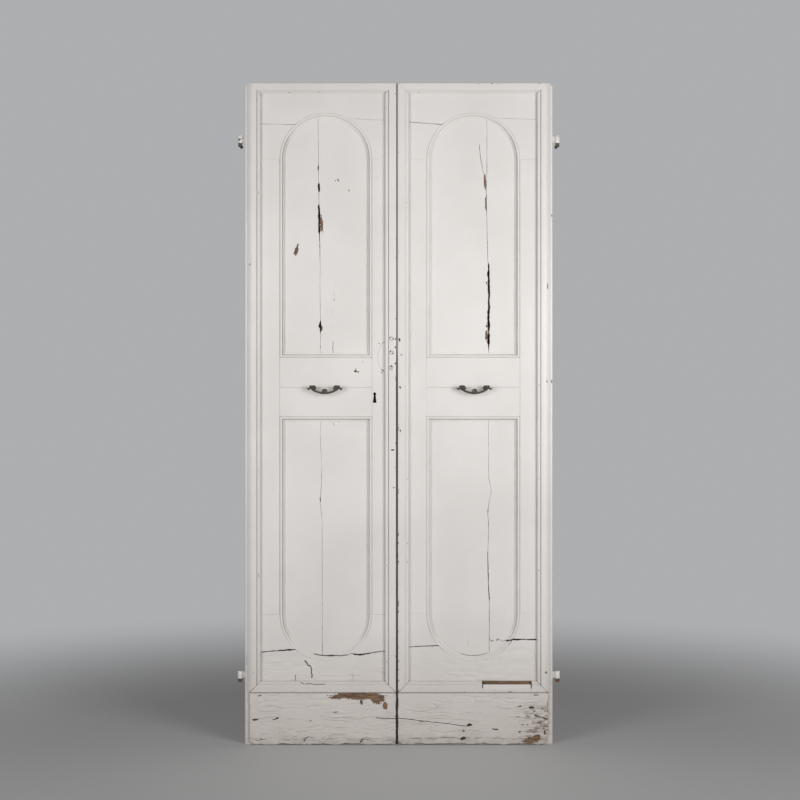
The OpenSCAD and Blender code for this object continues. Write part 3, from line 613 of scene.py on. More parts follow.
class Skin:
    """Front of a piece as a grid in millimetres, with what wear has done to it and where shade is painted on
    it.
    """

    def __init__(self, name, us, vs, place=None, gather=1.0):
        self.name = name
        self.gather = gather
        self.seed = seed_of(name)
        self.u, self.v = np.meshgrid(us, vs, indexing="ij")
        self.place = place or (lambda u, v: (u.copy(), v.copy()))
        self.x, self.z = self.place(self.u, self.v)
        self.flat_x, self.flat_z = self.x.copy(), self.z.copy()
        self.sink = np.zeros_like(self.x)
        self.fields = {key: np.zeros_like(self.x) for key in BACK_FIELDS}
        self.rim_crack_and_shade = None

    def stain(self, **fields):
        """Deepens one or more fields of wear, soiling and painted shade."""
        deepen(self.fields, **fields)

    def move_in(self, edge, amount):
        """Moves points away from an edge of the piece."""
        across, up = INWARD[edge]
        self.x += across * amount
        self.z += up * amount

    def from_edge(self, edge):
        """Distance of each point from one edge of the grid, in grid millimetres."""
        return {
            "low_x": self.u - self.u.min(),
            "high_x": self.u.max() - self.u,
            "low_z": self.v - self.v.min(),
            "high_z": self.v.max() - self.v,
        }[edge]

    def beside(self, edge, reach):
        """Share that falls smoothly from 1 at an edge to 0 at its reach."""
        return smooth(1 - self.from_edge(edge) / reach)

    def plane_marks(self, depth, upright):
        """Unevenness that follows the grain, and slow waves."""
        across, run = (self.x, self.z) if upright else (self.z, self.x)
        fine = noise(across / 9, run / 90, self.seed)
        slow = noise(across / 70, run / 240, self.seed + 1)
        self.sink += depth * (0.45 * fine + slow)

    def ease(self, edge, radius, wear=0.0, ragged=0.5):
        """Rounds an arris. The radius may change along the edge, and worn arrises lose paint."""
        run = self.z if edge.endswith("x") else self.x
        ripple = waver(run / 7, self.seed + 3) * 0.6 + waver(run / 31, self.seed + 4) * 0.4
        size = radius * (1 - ragged / 2 + ragged * ripple)
        near = np.clip(1 - self.from_edge(edge) / np.maximum(size, 0.05), 0, 1)
        self.sink += size * quarter_round(near)
        self.stain(bare=wear * self.beside(edge, 2 * size + 1))

    def round_hinge_edge(self, edge, radius):
        """Rounds the arris on the hinge side evenly, by the real distance from it."""
        inward = self.x - self.x.min() if edge == "low_x" else self.x.max() - self.x
        near = np.clip(1 - inward / radius, 0, 1)
        self.sink += radius * quarter_round(near)

    def drift(self, edge, amount):
        """Bends the piece towards one edge along x, front and back alike."""
        fall = self.beside(edge, 60)
        self.x += amount * fall
        self.flat_x += amount * fall

    def open_joint(self, edge, half):
        """Moves an edge back by its share of an open joint and darkens its arris with soiling and painted
        shade; where it stands wide, painted shade is kept for its wall.
        """
        run = self.z if edge.endswith("x") else self.x
        half = half * (0.55 + 0.9 * waver(run / 5, self.seed + 5))
        half = half * (0.5 + waver(run / 17, self.seed + 22))
        fall = np.clip(1 - self.from_edge(edge) / 9, 0, 1)
        self.move_in(edge, half * fall)
        near = self.beside(edge, 0.9)
        dirt_and_shade_share = 0.3 + 0.7 * smooth((waver(run / 13, self.seed + 23) - 0.25) / 0.35)
        self.stain(crack=near * np.clip(0.12 + 0.3 * half, 0, 0.8), grime=near * dirt_and_shade_share)
        self.sink += 0.5 * near
        self.rim_crack_and_shade = np.clip((half - 0.25) / 0.9, 0, 1) * (self.from_edge(edge) < 0.1)

    def eat_edge(self, edge, amount, reach):
        """Moves an edge in by an amount that was worked out for each point."""
        self.move_in(edge, amount * self.beside(edge, reach))

    def blob(self, x, z, rx, rz, tilt=0.0):
        """Field that is 1 in the middle of an oval, 0.5 on its border and 0 well outside."""
        turn = math.radians(tilt)
        dx, dz = self.x - x, self.z - z
        across = (dx * math.cos(turn) + dz * math.sin(turn)) / rx
        up = (dz * math.cos(turn) - dx * math.sin(turn)) / rz
        wobble = 0.75 + 0.5 * noise(self.x / max(2, rx / 3), self.z / max(2, rz / 3), self.seed + 6)
        return np.clip(1 - 0.5 * np.hypot(across, up) * wobble, 0, 1)

    def ribbon(self, points, half):
        """Field that is 1 on a broken line, 0.5 at half its width and 0 well outside."""
        sway_x = 1.6 * (noise(self.x / 7, self.z / 7, self.seed + 8) - 0.5)
        sway_z = 1.6 * (noise(self.x / 7, self.z / 7, self.seed + 9) - 0.5)
        nearest = to_line(self.x + sway_x, self.z + sway_z, points)
        return np.clip(1 - 0.5 * nearest / half, 0, 1)

    def lift_paint(self, folds, width, dirt_and_shade):
        """Wrinkles the paint along the grain. Each kind of fold has its length, height and depth."""
        for k, (run, rise, depth) in enumerate(folds):
            sway = 8 * noise(self.x / 50, self.z / 30, self.seed + 30 + k)
            fold = np.abs(noise(self.x / run, (self.z + sway) / rise, self.seed + 40 + k) - 0.5)
            patch = smooth((noise(self.x / 110, self.z / 40, self.seed + 50 + k) - 0.3) / 0.3)
            self.sink += depth * smooth(1 - fold / width) * patch
            # Darkens the creases with soiling and painted shade
            self.stain(grime=dirt_and_shade * smooth(1 - 1.4 * fold / width) * patch)

    def wear(self):
        """Adds the dents, folds, chips, cracks and ridges that are listed for this piece."""
        for x, z, rx, rz, depth in DENTS.get(self.name, ()):
            self.sink += depth * smooth(self.blob(x, z, rx, rz))
        for points, half, rise in FOLDS.get(self.name, ()):
            self.sink -= rise * smooth(self.ribbon(points, half))
        for x, z, rx, rz, depth, tilt in CHIPS.get(self.name, ()):
            field = self.blob(x, z, rx, rz, tilt)
            self.stain(bare=field)
            self.sink += depth * smooth(2 * field - 0.5)
            self.sink -= 0.25 * smooth(1 - np.abs(field - 0.42) / 0.1)
        for points, half, depth in CRACKS.get(self.name, ()):
            field = self.ribbon(points, half)
            self.stain(crack=field)
            self.sink += depth * smooth(field)
        for points, half, rise in RIDGES.get(self.name, ()):
            across, up = (np.ptp(part) for part in zip(*points))
            upright = up > across
            aside_x, aside_z = (-1.6 * half, 0) if upright else (0, -1.6 * half)
            above = smooth(self.ribbon(points, half))
            below = smooth(self.ribbon([(x + aside_x, z + aside_z) for x, z in points], half))
            cell_x, cell_z = (9, 26) if upright else (26, 9)
            broken = smooth((noise(self.x / cell_x, self.z / cell_z, self.seed + 15) - 0.25) / 0.3)
            self.sink += rise * (below - above) * broken
            # Painted shade, with some soiling, on the sunk side of the ridge: left of an upright ridge, under
            # a level one
            self.stain(grime=(0.6 if upright else 0.3) * below * broken)

    def build(self, front, back, square_back=False, wall=INNER_WALL, hidden_back=False):
        """Points, faces and fields of the closed piece: front grid, walls, eased back arrises and back."""
        nu, nv = self.u.shape
        grid = np.arange(nu * nv).reshape(nu, nv)
        face = np.stack([grid[:-1, :-1], grid[1:, :-1], grid[1:, 1:], grid[:-1, 1:]], -1).reshape(-1, 4)
        ring = np.concatenate([grid[:-1, 0], grid[-1, :-1], grid[:0:-1, -1], grid[0, :0:-1]])
        edge_x, edge_z = (self.flat_x, self.flat_z) if square_back else (self.x, self.z)
        in_u, in_v = self.shrunk(self.u, BACK_ARRIS * self.gather), self.shrunk(self.v, BACK_ARRIS)
        in_x, in_z = self.place(in_u, in_v)
        base_x, base_z = self.place(self.u, self.v)
        back_x, back_z = edge_x + in_x - base_x, edge_z + in_z - base_z
        n, total = len(ring), nu * nv
        step = np.arange(n)
        after = (step + 1) % n
        kept, turn = (ring, step) if hidden_back else (np.arange(total), ring)
        points = np.concatenate([
            np.stack([self.x.ravel(), front + self.sink.ravel(), self.z.ravel()], -1),
            np.stack([edge_x.ravel()[ring], np.full(n, back - BACK_ARRIS), edge_z.ravel()[ring]], -1),
            np.stack([back_x.ravel()[kept], np.full(len(kept), back), back_z.ravel()[kept]], -1),
        ])
        side = np.stack([ring[step], total + step, total + after, ring[after]], -1)
        edge = np.stack([total + step, total + n + turn[step], total + n + turn[after], total + after], -1)
        faces = np.concatenate([face, side, edge]).tolist()
        faces += [(total + n + step[::-1]).tolist()] if hidden_back else (total + n + face[:, ::-1]).tolist()
        fields = {}
        # The walls take the shares of their table; the near-black share, kept where a joint stands open, is
        # painted shade inside the slit
        for (key, behind), value in zip(BACK_FIELDS.items(), wall):
            rim = np.full(n, value)
            if key == "crack":
                rim = rim * (0 if self.rim_crack_and_shade is None else self.rim_crack_and_shade.ravel()[ring])
            fields[key] = np.concatenate([self.fields[key].ravel(), rim, np.full(len(kept), behind)])
        return points, faces, fields

    @staticmethod
    def shrunk(lines, inset):
        """Grid lines drawn in from both ends by an inset."""
        low, high = lines.min(), lines.max()
        return low + inset + (lines - low) * (high - low - 2 * inset) / (high - low)


def add_object(name, data):
    """New object in the scene."""
    made = bpy.data.objects.new(name, data)
    bpy.context.scene.collection.objects.link(made)
    return made


def add_piece(name, points, faces, fields, material, body, slot, nodes):
    """Makes one object from points in millimetres, and ties it to its body and to the nodes it stands for."""
    mesh = bpy.data.meshes.new(name)
    mesh.from_pydata((np.asarray(points) * MM).tolist(), [], faces)
    for key, values in fields.items():
        mesh.attributes.new(key, "FLOAT", "POINT").data.foreach_set("value", np.asarray(values, np.float32))
    shell = bmesh.new()
    shell.from_mesh(mesh)
    bmesh.ops.recalc_face_normals(shell, faces=shell.faces)
    shell.to_mesh(mesh)
    shell.free()
    finish_piece(mesh, material)
    return tie(add_object(name, mesh), body, nodes)


def finish_piece(mesh, material):
    """Gives a mesh its material and soft shading with sharp corners."""
    mesh.materials.clear()
    mesh.materials.append(material)
    mesh.polygons.foreach_set("use_smooth", [True] * len(mesh.polygons))
    mesh.set_sharp_from_angle(angle=SHARP_ANGLE)
    mesh.update()


def tie(piece, body, nodes=()):
    """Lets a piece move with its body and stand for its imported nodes."""
    if nodes:
        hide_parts(*nodes)
    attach(piece, body)
    return piece


def settle(rough, name, material):
    """Puts a finished plain mesh in the place of an object and its modifiers."""
    mesh = bpy.data.meshes.new_from_object(rough.evaluated_get(bpy.context.evaluated_depsgraph_get()))
    bpy.data.objects.remove(rough)
    if not mesh.polygons:
        raise RuntimeError(f"no faces were made for {name}")
    mesh.name = name
    finish_piece(mesh, material)
    return add_object(name, mesh)


def add_node(tree, kind, choices=None, inputs=None):
    """New node of a kind, with its choices made first and then its sockets set or linked."""
    node = tree.nodes.new(kind)
    for key, value in (choices or {}).items():
        setattr(node, key, value)
    for key, value in (inputs or {}).items():
        if isinstance(value, bpy.types.NodeSocket):
            tree.links.new(value, node.inputs[key])
        else:
            node.inputs[key].default_value = value
    return node


class Value:
    """Socket of a shader tree that can be used in sums."""

    def __init__(self, finish, socket):
        self.finish = finish
        self.socket = socket

    def __add__(self, other):
        return self.finish.math("ADD", self, other)

    def __radd__(self, other):
        return self.finish.math("ADD", other, self)

    def __sub__(self, other):
        return self.finish.math("SUBTRACT", self, other)

    def __rsub__(self, other):
        return self.finish.math("SUBTRACT", other, self)

    def __mul__(self, other):
        return self.finish.math("MULTIPLY", self, other)

    def __rmul__(self, other):
        return self.finish.math("MULTIPLY", other, self)


class Finish:
    """Material whose tree is written as expressions on its sockets."""

    def __init__(self, name):
        self.material = bpy.data.materials.new(name)
        self.material.use_nodes = True
        self.tree = self.material.node_tree
        self.tree.nodes.clear()

    def node(self, kind, choices=None, inputs=None):
        """New node of this material, whose sockets also take values of its sums."""
        pairs = (inputs or {}).items()
        fed = {key: value.socket if isinstance(value, Value) else value for key, value in pairs}
        return add_node(self.tree, kind, choices, fed)

    def math(self, operation, a, b):
        """Result of one Math node."""
        node = self.node("ShaderNodeMath", {"operation": operation}, {0: a, 1: b})
        return Value(self, node.outputs[0])

    def mix(self, factor, a, b):
        """Colour between a and b."""
        a, b = (value if isinstance(value, Value) else (*value, 1) for value in (a, b))
        node = self.node("ShaderNodeMix", {"data_type": "RGBA"}, {0: factor, 6: a, 7: b})
        return Value(self, node.outputs[2])

    def ease(self, value, low, high):
        """0 below low, 1 above high, and smooth in between."""
        limits = {0: value, 1: low, 2: high, 3: 0.0, 4: 1.0}
        node = self.node("ShaderNodeMapRange", {"interpolation_type": "SMOOTHSTEP"}, limits)
        return Value(self, node.outputs[0])

    def place(self):
        """Place on the piece, in its object's coordinates."""
        return Value(self, self.node("ShaderNodeTexCoord").outputs["Object"])

    def height(self, place):
        """Third part of a place."""
        return Value(self, self.node("ShaderNodeSeparateXYZ", inputs={0: place}).outputs[2])

    def stretch(self, place, factors):
        """Place with each of its parts scaled."""
        node = self.node("ShaderNodeVectorMath", {"operation": "MULTIPLY"}, {0: place, 1: factors})
        return Value(self, node.outputs[0])

    def noise(self, place, scale, detail=2.0, roughness=0.5):
        """Random pattern from 0 to 1."""
        inputs = {"Vector": place, "Scale": scale, "Detail": detail, "Roughness": roughness}
        return Value(self, self.node("ShaderNodeTexNoise", inputs=inputs).outputs[0])

    def field(self, name):
        """One of the piece's fields of wear, soiling and painted shade."""
        return Value(self, self.node("ShaderNodeAttribute", {"attribute_name": name}).outputs["Fac"])

    def surface(self, colour, roughness, bump, bump_depth, metallic=0.0):
        """Closes the tree with one shader and its bump."""
        relief = self.node("ShaderNodeBump", inputs={"Strength": 1.0, "Distance": bump_depth, "Height": bump})
        shader = self.node(
            "ShaderNodeBsdfPrincipled",
            inputs={
                "Base Color": colour, "Roughness": roughness, "Metallic": metallic,
                "Normal": Value(self, relief.outputs[0]),
            },
        )
        self.node("ShaderNodeOutputMaterial", inputs={0: Value(self, shader.outputs[0])})
        return self.material

    def fade_to(self, colour, factor):
        """Lets the camera see a plain colour in place of the surface, where the factor is 1."""
        out = next(node for node in self.tree.nodes if node.type == "OUTPUT_MATERIAL")
        shaded = Value(self, out.inputs[0].links[0].from_socket)
        seen = Value(self, self.node("ShaderNodeLightPath").outputs["Is Camera Ray"])
        plain = Value(self, self.node("ShaderNodeEmission", inputs={0: (*colour, 1), 1: 1.0}).outputs[0])
        mixed = self.node("ShaderNodeMixShader", inputs={0: factor * seen, 1: shaded, 2: plain})
        self.tree.links.new(mixed.outputs[0], out.inputs[0])


def aged_paint(name, upright):
    """Old brushed paint over wood, with its wear, soiling and painted shade read from the piece's fields."""
    look = settings("paint")
    make = Finish(name)
    place = make.place()
    grain = (230.0, 230.0, 10.0) if upright else (10.0, 230.0, 230.0)
    streaks = (620.0, 620.0, 16.0) if upright else (16.0, 620.0, 620.0)
    brush = make.noise(make.stretch(place, grain), 1.0, 3.0)
    streak = make.noise(make.stretch(place, streaks), 1.0, 3.0)
    cloud = make.noise(place, 3.4, 4.0)
    mottle = make.noise(place, 42.0, 4.0, 0.6)
    ragged = make.noise(place, 190.0, 4.0, 0.6)
    grit = make.noise(place, 640.0, 2.0)

    bare = make.ease(make.field("bare") + (ragged - 0.5) * 0.75 + (streak - 0.5) * 0.2, 0.48, 0.55)
    # Cracks, and the painted shade in slits, gaps, quirks and the keyhole, go to the near-black colour
    crack = make.ease(make.field("crack") + (ragged - 0.5) * 0.35, 0.4, 0.62)
    # Darker and warmer towards the foot of the leaves
    near_floor = 1.0 - make.ease(make.height(place), 0.02, 0.42)
    # Soiling with painted shade from the grime field, plus the darkening towards the foot and clouds of
    # soiling
    soiled_and_shaded = make.field("grime") + near_floor * 0.34 + (mottle - 0.5) * 0.7 + (cloud - 0.5) * 0.4
    dirt_and_shade = make.ease(soiled_and_shaded, 0.34, 1.05)
    specks = make.ease(make.noise(place, 260.0, 3.0), 0.685, 0.76) * make.ease(cloud, 0.42, 0.6)
    hairs = make.ease(streak, 0.66, 0.8) * make.ease(mottle, 0.5, 0.62)

    paint = make.mix(make.ease(cloud, 0.36, 0.66), look.paint, look.paint_shade)
    paint = make.mix(brush * 0.3, paint, look.paint_shade)
    paint = make.mix(near_floor * 0.34, paint, look.foot_tone)
    paint = make.mix(dirt_and_shade * 0.75 + specks * 0.3 + hairs * 0.22, paint, look.grime)
    wood = make.mix(make.ease(streak + (mottle - 0.5) * 0.4, 0.34, 0.68), look.wood_dark, look.wood)
    colour = make.mix(crack, make.mix(bare, paint, wood), look.crack)
    roughness = (0.4 + mottle * 0.16 + dirt_and_shade * 0.15) * (1.0 - bare) + bare * 0.85
    relief = brush * 0.3 + streak * 0.12 + mottle * 0.45 + grit * 0.06 - bare * 0.7 - crack * 0.8
    return make.surface(colour, roughness, relief, 0.55 * MM)


def cast_iron():
    """Dark cast iron, rubbed brighter in patches."""
    look = settings("iron")
    make = Finish("old_cast_iron")
    place = make.place()
    cast_skin = make.noise(place, 900.0, 3.0, 0.6)
    patch = make.noise(place, 110.0, 3.0)
    rubbed = make.ease(patch + (cast_skin - 0.5) * 0.4, 0.5, 0.72)
    pale = tuple(min(1.0, 2.1 * part) for part in look.cast)
    colour = make.mix(rubbed, look.cast, pale)
    colour = make.mix(make.ease(make.noise(place, 260.0, 4.0), 0.6, 0.78) * 0.5, colour, look.rust)
    return make.surface(colour, 0.62 - rubbed * 0.2, cast_skin * 0.6 + patch * 0.5, 0.25 * MM, 0.55)


def forged_iron():
    """Hammered iron with rust."""
    look = settings("iron")
    make = Finish("old_forged_iron")
    place = make.place()
    hammer = make.noise(place, 120.0, 2.0)
    skin = make.noise(place, 700.0, 4.0, 0.65)
    rust = make.ease(make.noise(place, 60.0, 5.0, 0.65) + (skin - 0.5) * 0.3, 0.47, 0.66)
    colour = make.mix(rust, look.forged, look.rust)
    relief = hammer * 0.8 + skin * 0.4 + rust * 0.3
    return make.surface(colour, 0.5 + rust * 0.35, relief, 0.3 * MM, 0.5 - rust * 0.45)


def painted_iron():
    """Iron under the same old paint, chipped down to rust and dark metal."""
    paint, iron = settings("paint"), settings("iron")
    make = Finish("painted_iron")
    place = make.place()
    ragged = make.noise(place, 170.0, 4.0, 0.6)
    mottle = make.noise(place, 60.0, 3.0)
    chipped = make.ease(ragged * 0.6 + mottle * 0.4, 0.58, 0.62)
    rust = make.ease(make.noise(place, 300.0, 3.0), 0.42, 0.6)
    metal = make.mix(rust, iron.forged, iron.rust)
    colour = make.mix(chipped, make.mix(mottle * 0.6, paint.paint, paint.paint_shade), metal)
    return make.surface(colour, 0.42 + chipped * 0.35, mottle * 0.5 - chipped * 0.8, 0.4 * MM)


FINISHES = {}


def finish(name):
    """Material of that name, made once."""
    makers = {
        "paint_upright": lambda: aged_paint("aged_paint_upright_grain", True),
        "paint_level": lambda: aged_paint("aged_paint_level_grain", False),
        "cast_iron": cast_iron,
        "forged_iron": forged_iron,
        "painted_iron": painted_iron,
    }
    if name not in FINISHES:
        FINISHES[name] = makers[name]()
    return FINISHES[name]


def add_worn(leaf, name, mesh, material):
    """Adds a painted piece from its points, faces and fields, in the place of the node of that name."""
    return add_piece("worn_" + name, *mesh, finish(material), leaf.body, "painted_wood", [name])


def add_timber(leaf, skin, front, back, material, **choices):
    """Adds a timber from its front grid, between its front and its back."""
    return add_worn(leaf, skin.name, skin.build(front, back, **choices), material)


class FramingOperator(bpy.types.Operator):
    """Builds the stiles, rails and spandrels of both leaves"""

    bl_idname = "old_door.framing"
    bl_label = "Stiles and rails"

    def execute(self, context):
        for leaf in LEAVES:
            self.stiles(leaf)
            self.lock_rails(leaf)
            self.rails(leaf)
            for part in ("outer", "inner"):
                self.spandrels(leaf, part)
        return {"FINISHED"}

    def outer_edges(self, leaf, skin, hinge, meeting):
        """Rounds the hinge edge and wears the meeting edge where a piece has them, with painted shade along
        the meeting edge.
        """
        sizes = lengths("timber")
        if hinge:
            skin.round_hinge_edge("low_x" if leaf.left else "high_x", sizes.hinge_round)
        if meeting:
            edge = "high_x" if leaf.left else "low_x"
            skin.ease(edge, sizes.worn_round, wear=0.42)
            # Soiling and painted shade along the meeting edge, and a near-black strip just inside it: painted
            # shade that darkens the gap between the leaves
            skin.stain(grime=0.8 * skin.beside(edge, 7))
            inside = skin.from_edge(edge) > 0.2
            skin.stain(crack=smooth(1.4 - skin.from_edge(edge) / 5) * inside)

    def edge_lines(self, leaf, hinge, wider=1.0):
        """Close lines at the low and the high x of a piece, further apart where its grid is gathered."""
        close = tuple(wider * line for line in HINGE_ARRIS_LINES) if hinge else ARRIS_LINES
        return (close, ARRIS_LINES) if leaf.left else (ARRIS_LINES, close)

    def stiles(self, leaf):
        """Adds the hinge stile and the meeting stile."""
        sizes = lengths("timber")
        joint = sizes.joint_round
        for part in ("hinge_stile", "meeting_stile"):
            name = leaf.side + "_" + part
            hinge = part == "hinge_stile"
            at_low = hinge == leaf.left
            x0 = leaf.low_x if at_low else leaf.open_high
            x1 = leaf.open_low if at_low else leaf.high_x
            xs, zs = fine_stretches(name)
            key = self.keyhole() if name == "left_meeting_stile" else None
            if key:
                xs += [(key["x"] - 8, key["x"] + 8), LOCK_MARK_X]
                zs += [(key["low"] - 3, key["high"] + 3), LOCK_MARK_Z]
            low_lines, high_lines = self.edge_lines(leaf, hinge)
            us = spaced(x0, x1, sizes.step, xs, low_lines, high_lines)
            vs = spaced(leaf.low_spring, leaf.high_spring, 1.6 * sizes.step, zs)
            skin = Skin(name, us, vs)
            skin.plane_marks(sizes.unevenness, True)
            self.outer_edges(leaf, skin, hinge, not hinge)
            opening = "high_x" if at_low else "low_x"
            skin.ease(opening, 1.5 * joint, wear=0.1)
            # Dark line along the opening where the panel moulding sits: painted contact shade with some
            # soiling, fainter on the right meeting stile
            line = 0.35 if name == "right_meeting_stile" else 1.0
            skin.stain(grime=line * skin.beside(opening, 2.2))
            skin.stain(crack=0.5 * line * skin.beside(opening, 0.9))
            for edge in ("low_z", "high_z"):
                skin.ease(edge, 0.7 * joint)
                skin.stain(grime=0.9 * skin.beside(edge, 1.2))
                if leaf.left and edge == "low_z":
                    skin.stain(crack=0.5 * skin.beside(edge, 0.8))
            skin.wear()
            if key:
                self.cut_keyhole(leaf, skin, key)
                self.old_lock_marks(leaf, skin)
            wall = HINGE_WALL if hinge else MEETING_WALL
            add_timber(leaf, skin, leaf.front, leaf.back, "paint_upright", wall=wall)

    def keyhole(self):
        """Place of the keyhole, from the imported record's opening."""
        for opening in frame["record"]["physics"]["openings"]:
            if opening.get("name") == "keyhole":
                low, high = (np.array(corner) / MM for corner in opening["box_m"])
                return {"x": (low[0] + high[0]) / 2, "low": low[2] - 0.5, "high": high[2] + 4.5}
        raise RuntimeError("the packed record has no opening named keyhole")

    def cut_keyhole(self, leaf, skin, key):
        """Sinks the keyhole: a round head over a foot that widens downwards."""
        head_r, neck, foot, floor = 4.5, 2.25, 5.5, 3
        head_z = key["high"] - head_r
        aside, z = np.abs(skin.x - key["x"]), skin.z
        part = np.clip((head_z - z) / (head_z - key["low"]), 0, 1)
        in_foot = (aside < neck + (foot - neck) * part) & (z < head_z) & (z > key["low"])
        hole = in_foot | (np.hypot(aside, z - head_z) < head_r)
        skin.sink = np.where(hole, leaf.back - leaf.front - floor, skin.sink)
        handled = smooth(1 - np.hypot(aside / 9, (z - (key["low"] + key["high"]) / 2) / 22))
        # The hole is near-black, painted shade inside it; soiling from hands round it
        skin.stain(crack=hole, grime=0.75 * handled)

    def old_lock_marks(self, leaf, skin):
        """Draws the outline that a lost lock plate left beside the meeting edge."""
        inward, middle_z, half_x, half_z = LOCK_MARK
        away = np.hypot((skin.x - leaf.high_x + inward) / half_x, (skin.z - middle_z) / half_z)
        outline = smooth(1 - np.abs(away - 1) / 0.06)
        broken = smooth((noise(skin.x / 5, skin.z / 6, skin.seed + 21) - 0.34) / 0.3)
        skin.sink -= 0.5 * outline
        skin.stain(grime=0.8 * outline, bare=0.62 * outline * broken, crack=0.55 * outline * broken)

    def lock_rails(self, leaf):
        """Adds the two rails behind the pull."""
        sizes = lengths("timber")
        joint = sizes.joint_round
        for part, z0, z1 in (
            ("upper_lock_rail", leaf.lock_joint, leaf.lock_top),
            ("lower_lock_rail", leaf.lock_bottom, leaf.lock_joint),
        ):
            name = leaf.side + "_" + part
            xs, zs = fine_stretches(name)
            us = spaced(leaf.open_low, leaf.open_high, sizes.step, xs)
            skin = Skin(name, us, spaced(z0, z1, sizes.step, zs))
            skin.plane_marks(sizes.unevenness, False)
            for edge in ("low_x", "high_x"):
                skin.ease(edge, 1.3 * joint)
            for edge in ("low_z", "high_z"):
                skin.ease(edge, 1.6 * joint)
            line = "low_z" if part == "upper_lock_rail" else "high_z"
            skin.stain(crack=0.5 * skin.beside(line, 0.8))
            skin.wear()
            add_timber(leaf, skin, leaf.front, leaf.back, "paint_level")

    def rail_joint(self, leaf, skin, top, edge, shut=False):
        """Opens the joint of the top or the bottom rail along an edge, apart from where it is shut."""
        wide = along((HEAD_OPEN if top else FOOT_OPEN)[leaf.side], skin.x)
        skin.ease(edge, np.where(shut, 0.4, wide), ragged=0.9)
        skin.open_joint(edge, np.where(shut, 0, (0.3 if top else 0.75) * wide))

    def rails(self, leaf):
        """Adds the top rail and the bottom rail, cut out for the arches."""
        sizes = lengths("timber")
        step = sizes.step
        low_lines, high_lines = self.edge_lines(leaf, True)
        for part in ("top_rail", "bottom_rail"):
            name = leaf.side + "_" + part
            top = part == "top_rail"
            xs, zs = fine_stretches(name)
            half = np.sqrt(leaf.arch_r**2 - (leaf.head_z - leaf.high_spring) ** 2)
            for corner in (leaf.arch_x - half, leaf.arch_x + half):
                xs.append((corner - 2, corner + 2))
            us = spaced(leaf.low_x, leaf.high_x, step, xs, low_lines, high_lines)
            low_z, high_z = (leaf.head_z, leaf.top_z) if top else (0.0, leaf.foot_z)
            vs = spaced(low_z, high_z, step, zs)

            def place(u, v):
                if top:
                    edge = np.maximum(leaf.head_joint(u), leaf.high_spring + leaf.arch_rise(u))
                    down = (leaf.top_z - v) * (leaf.top_z - edge) / (leaf.top_z - leaf.head_z)
                    return u.copy(), leaf.top_z - down
                edge = np.minimum(leaf.foot_joint(u), leaf.low_spring - leaf.arch_rise(u))
                return u.copy(), v * edge / leaf.foot_z

            skin = Skin(name, us, vs, place)
            skin.plane_marks(sizes.unevenness * (1 if top else 1.8), False)
            if not top:
                skin.lift_paint(((100, 18, 1.5), (55, 11, 0.9)), 0.16, 0.12)
            self.outer_edges(leaf, skin, True, True)
            in_arch = np.abs(skin.x - leaf.arch_x) < half
            self.rail_joint(leaf, skin, top, "low_z" if top else "high_z", in_arch)
            skin.ease("high_z" if top else "low_z", 2.5, wear=0.45, ragged=0.9)
            if top:
                corner = skin.from_edge("low_x" if leaf.left else "high_x")
                skin.eat_edge("high_z", 7.0 * smooth(1 - corner / 15), 24)
            skin.wear()
            add_timber(leaf, skin, leaf.front, leaf.back, "paint_level", wall=HINGE_WALL)

    def spandrels(self, leaf, part):
        """Adds the two blocks between an arch and one border of the leaf."""
        sizes = lengths("timber")
        step = sizes.step
        hinge = part == "outer"
        at_low = hinge == leaf.left
        border = leaf.low_x if at_low else leaf.high_x
        for end in ("top", "bottom"):
            top = end == "top"
            name = "_".join((leaf.side, end, part, "spandrel"))
            spring = leaf.high_spring if top else leaf.low_spring
            far = leaf.head_z if top else leaf.foot_z
            low_lines, high_lines = self.edge_lines(leaf, hinge, SPANDREL_GATHER)
            xs, zs = fine_stretches(name)
            us = spaced(min(border, leaf.arch_x), max(border, leaf.arch_x), step, xs, low_lines, high_lines)
            vs = spaced(min(spring, far), max(spring, far), step, zs)

            def place(u, v):
                side = -1 if at_low else 1
                share = (u - border) / (leaf.arch_x - border)
                x = u.copy()
                z = v.copy()
                for _ in range(4):
                    joint = leaf.head_joint(x) if top else leaf.foot_joint(x)
                    z = spring + (v - spring) * (joint - spring) / (far - spring)
                    arc = np.sqrt(np.maximum(leaf.arch_r**2 - (z - spring) ** 2, 0))
                    x = border + share * (leaf.arch_x + side * arc - border)
                return x, z

            skin = Skin(name, us, vs, place, SPANDREL_GATHER)
            skin.plane_marks(sizes.unevenness, False)
            self.outer_edges(leaf, skin, hinge, not hinge)
            self.rail_joint(leaf, skin, top, "high_z" if top else "low_z")
            skin.ease("low_z" if top else "high_z", sizes.joint_round)
            skin.ease("high_x" if at_low else "low_x", 0.5)
            skin.wear()
            wall = HINGE_WALL if hinge else MEETING_WALL
            add_timber(leaf, skin, leaf.front, leaf.back, "paint_level", wall=wall)


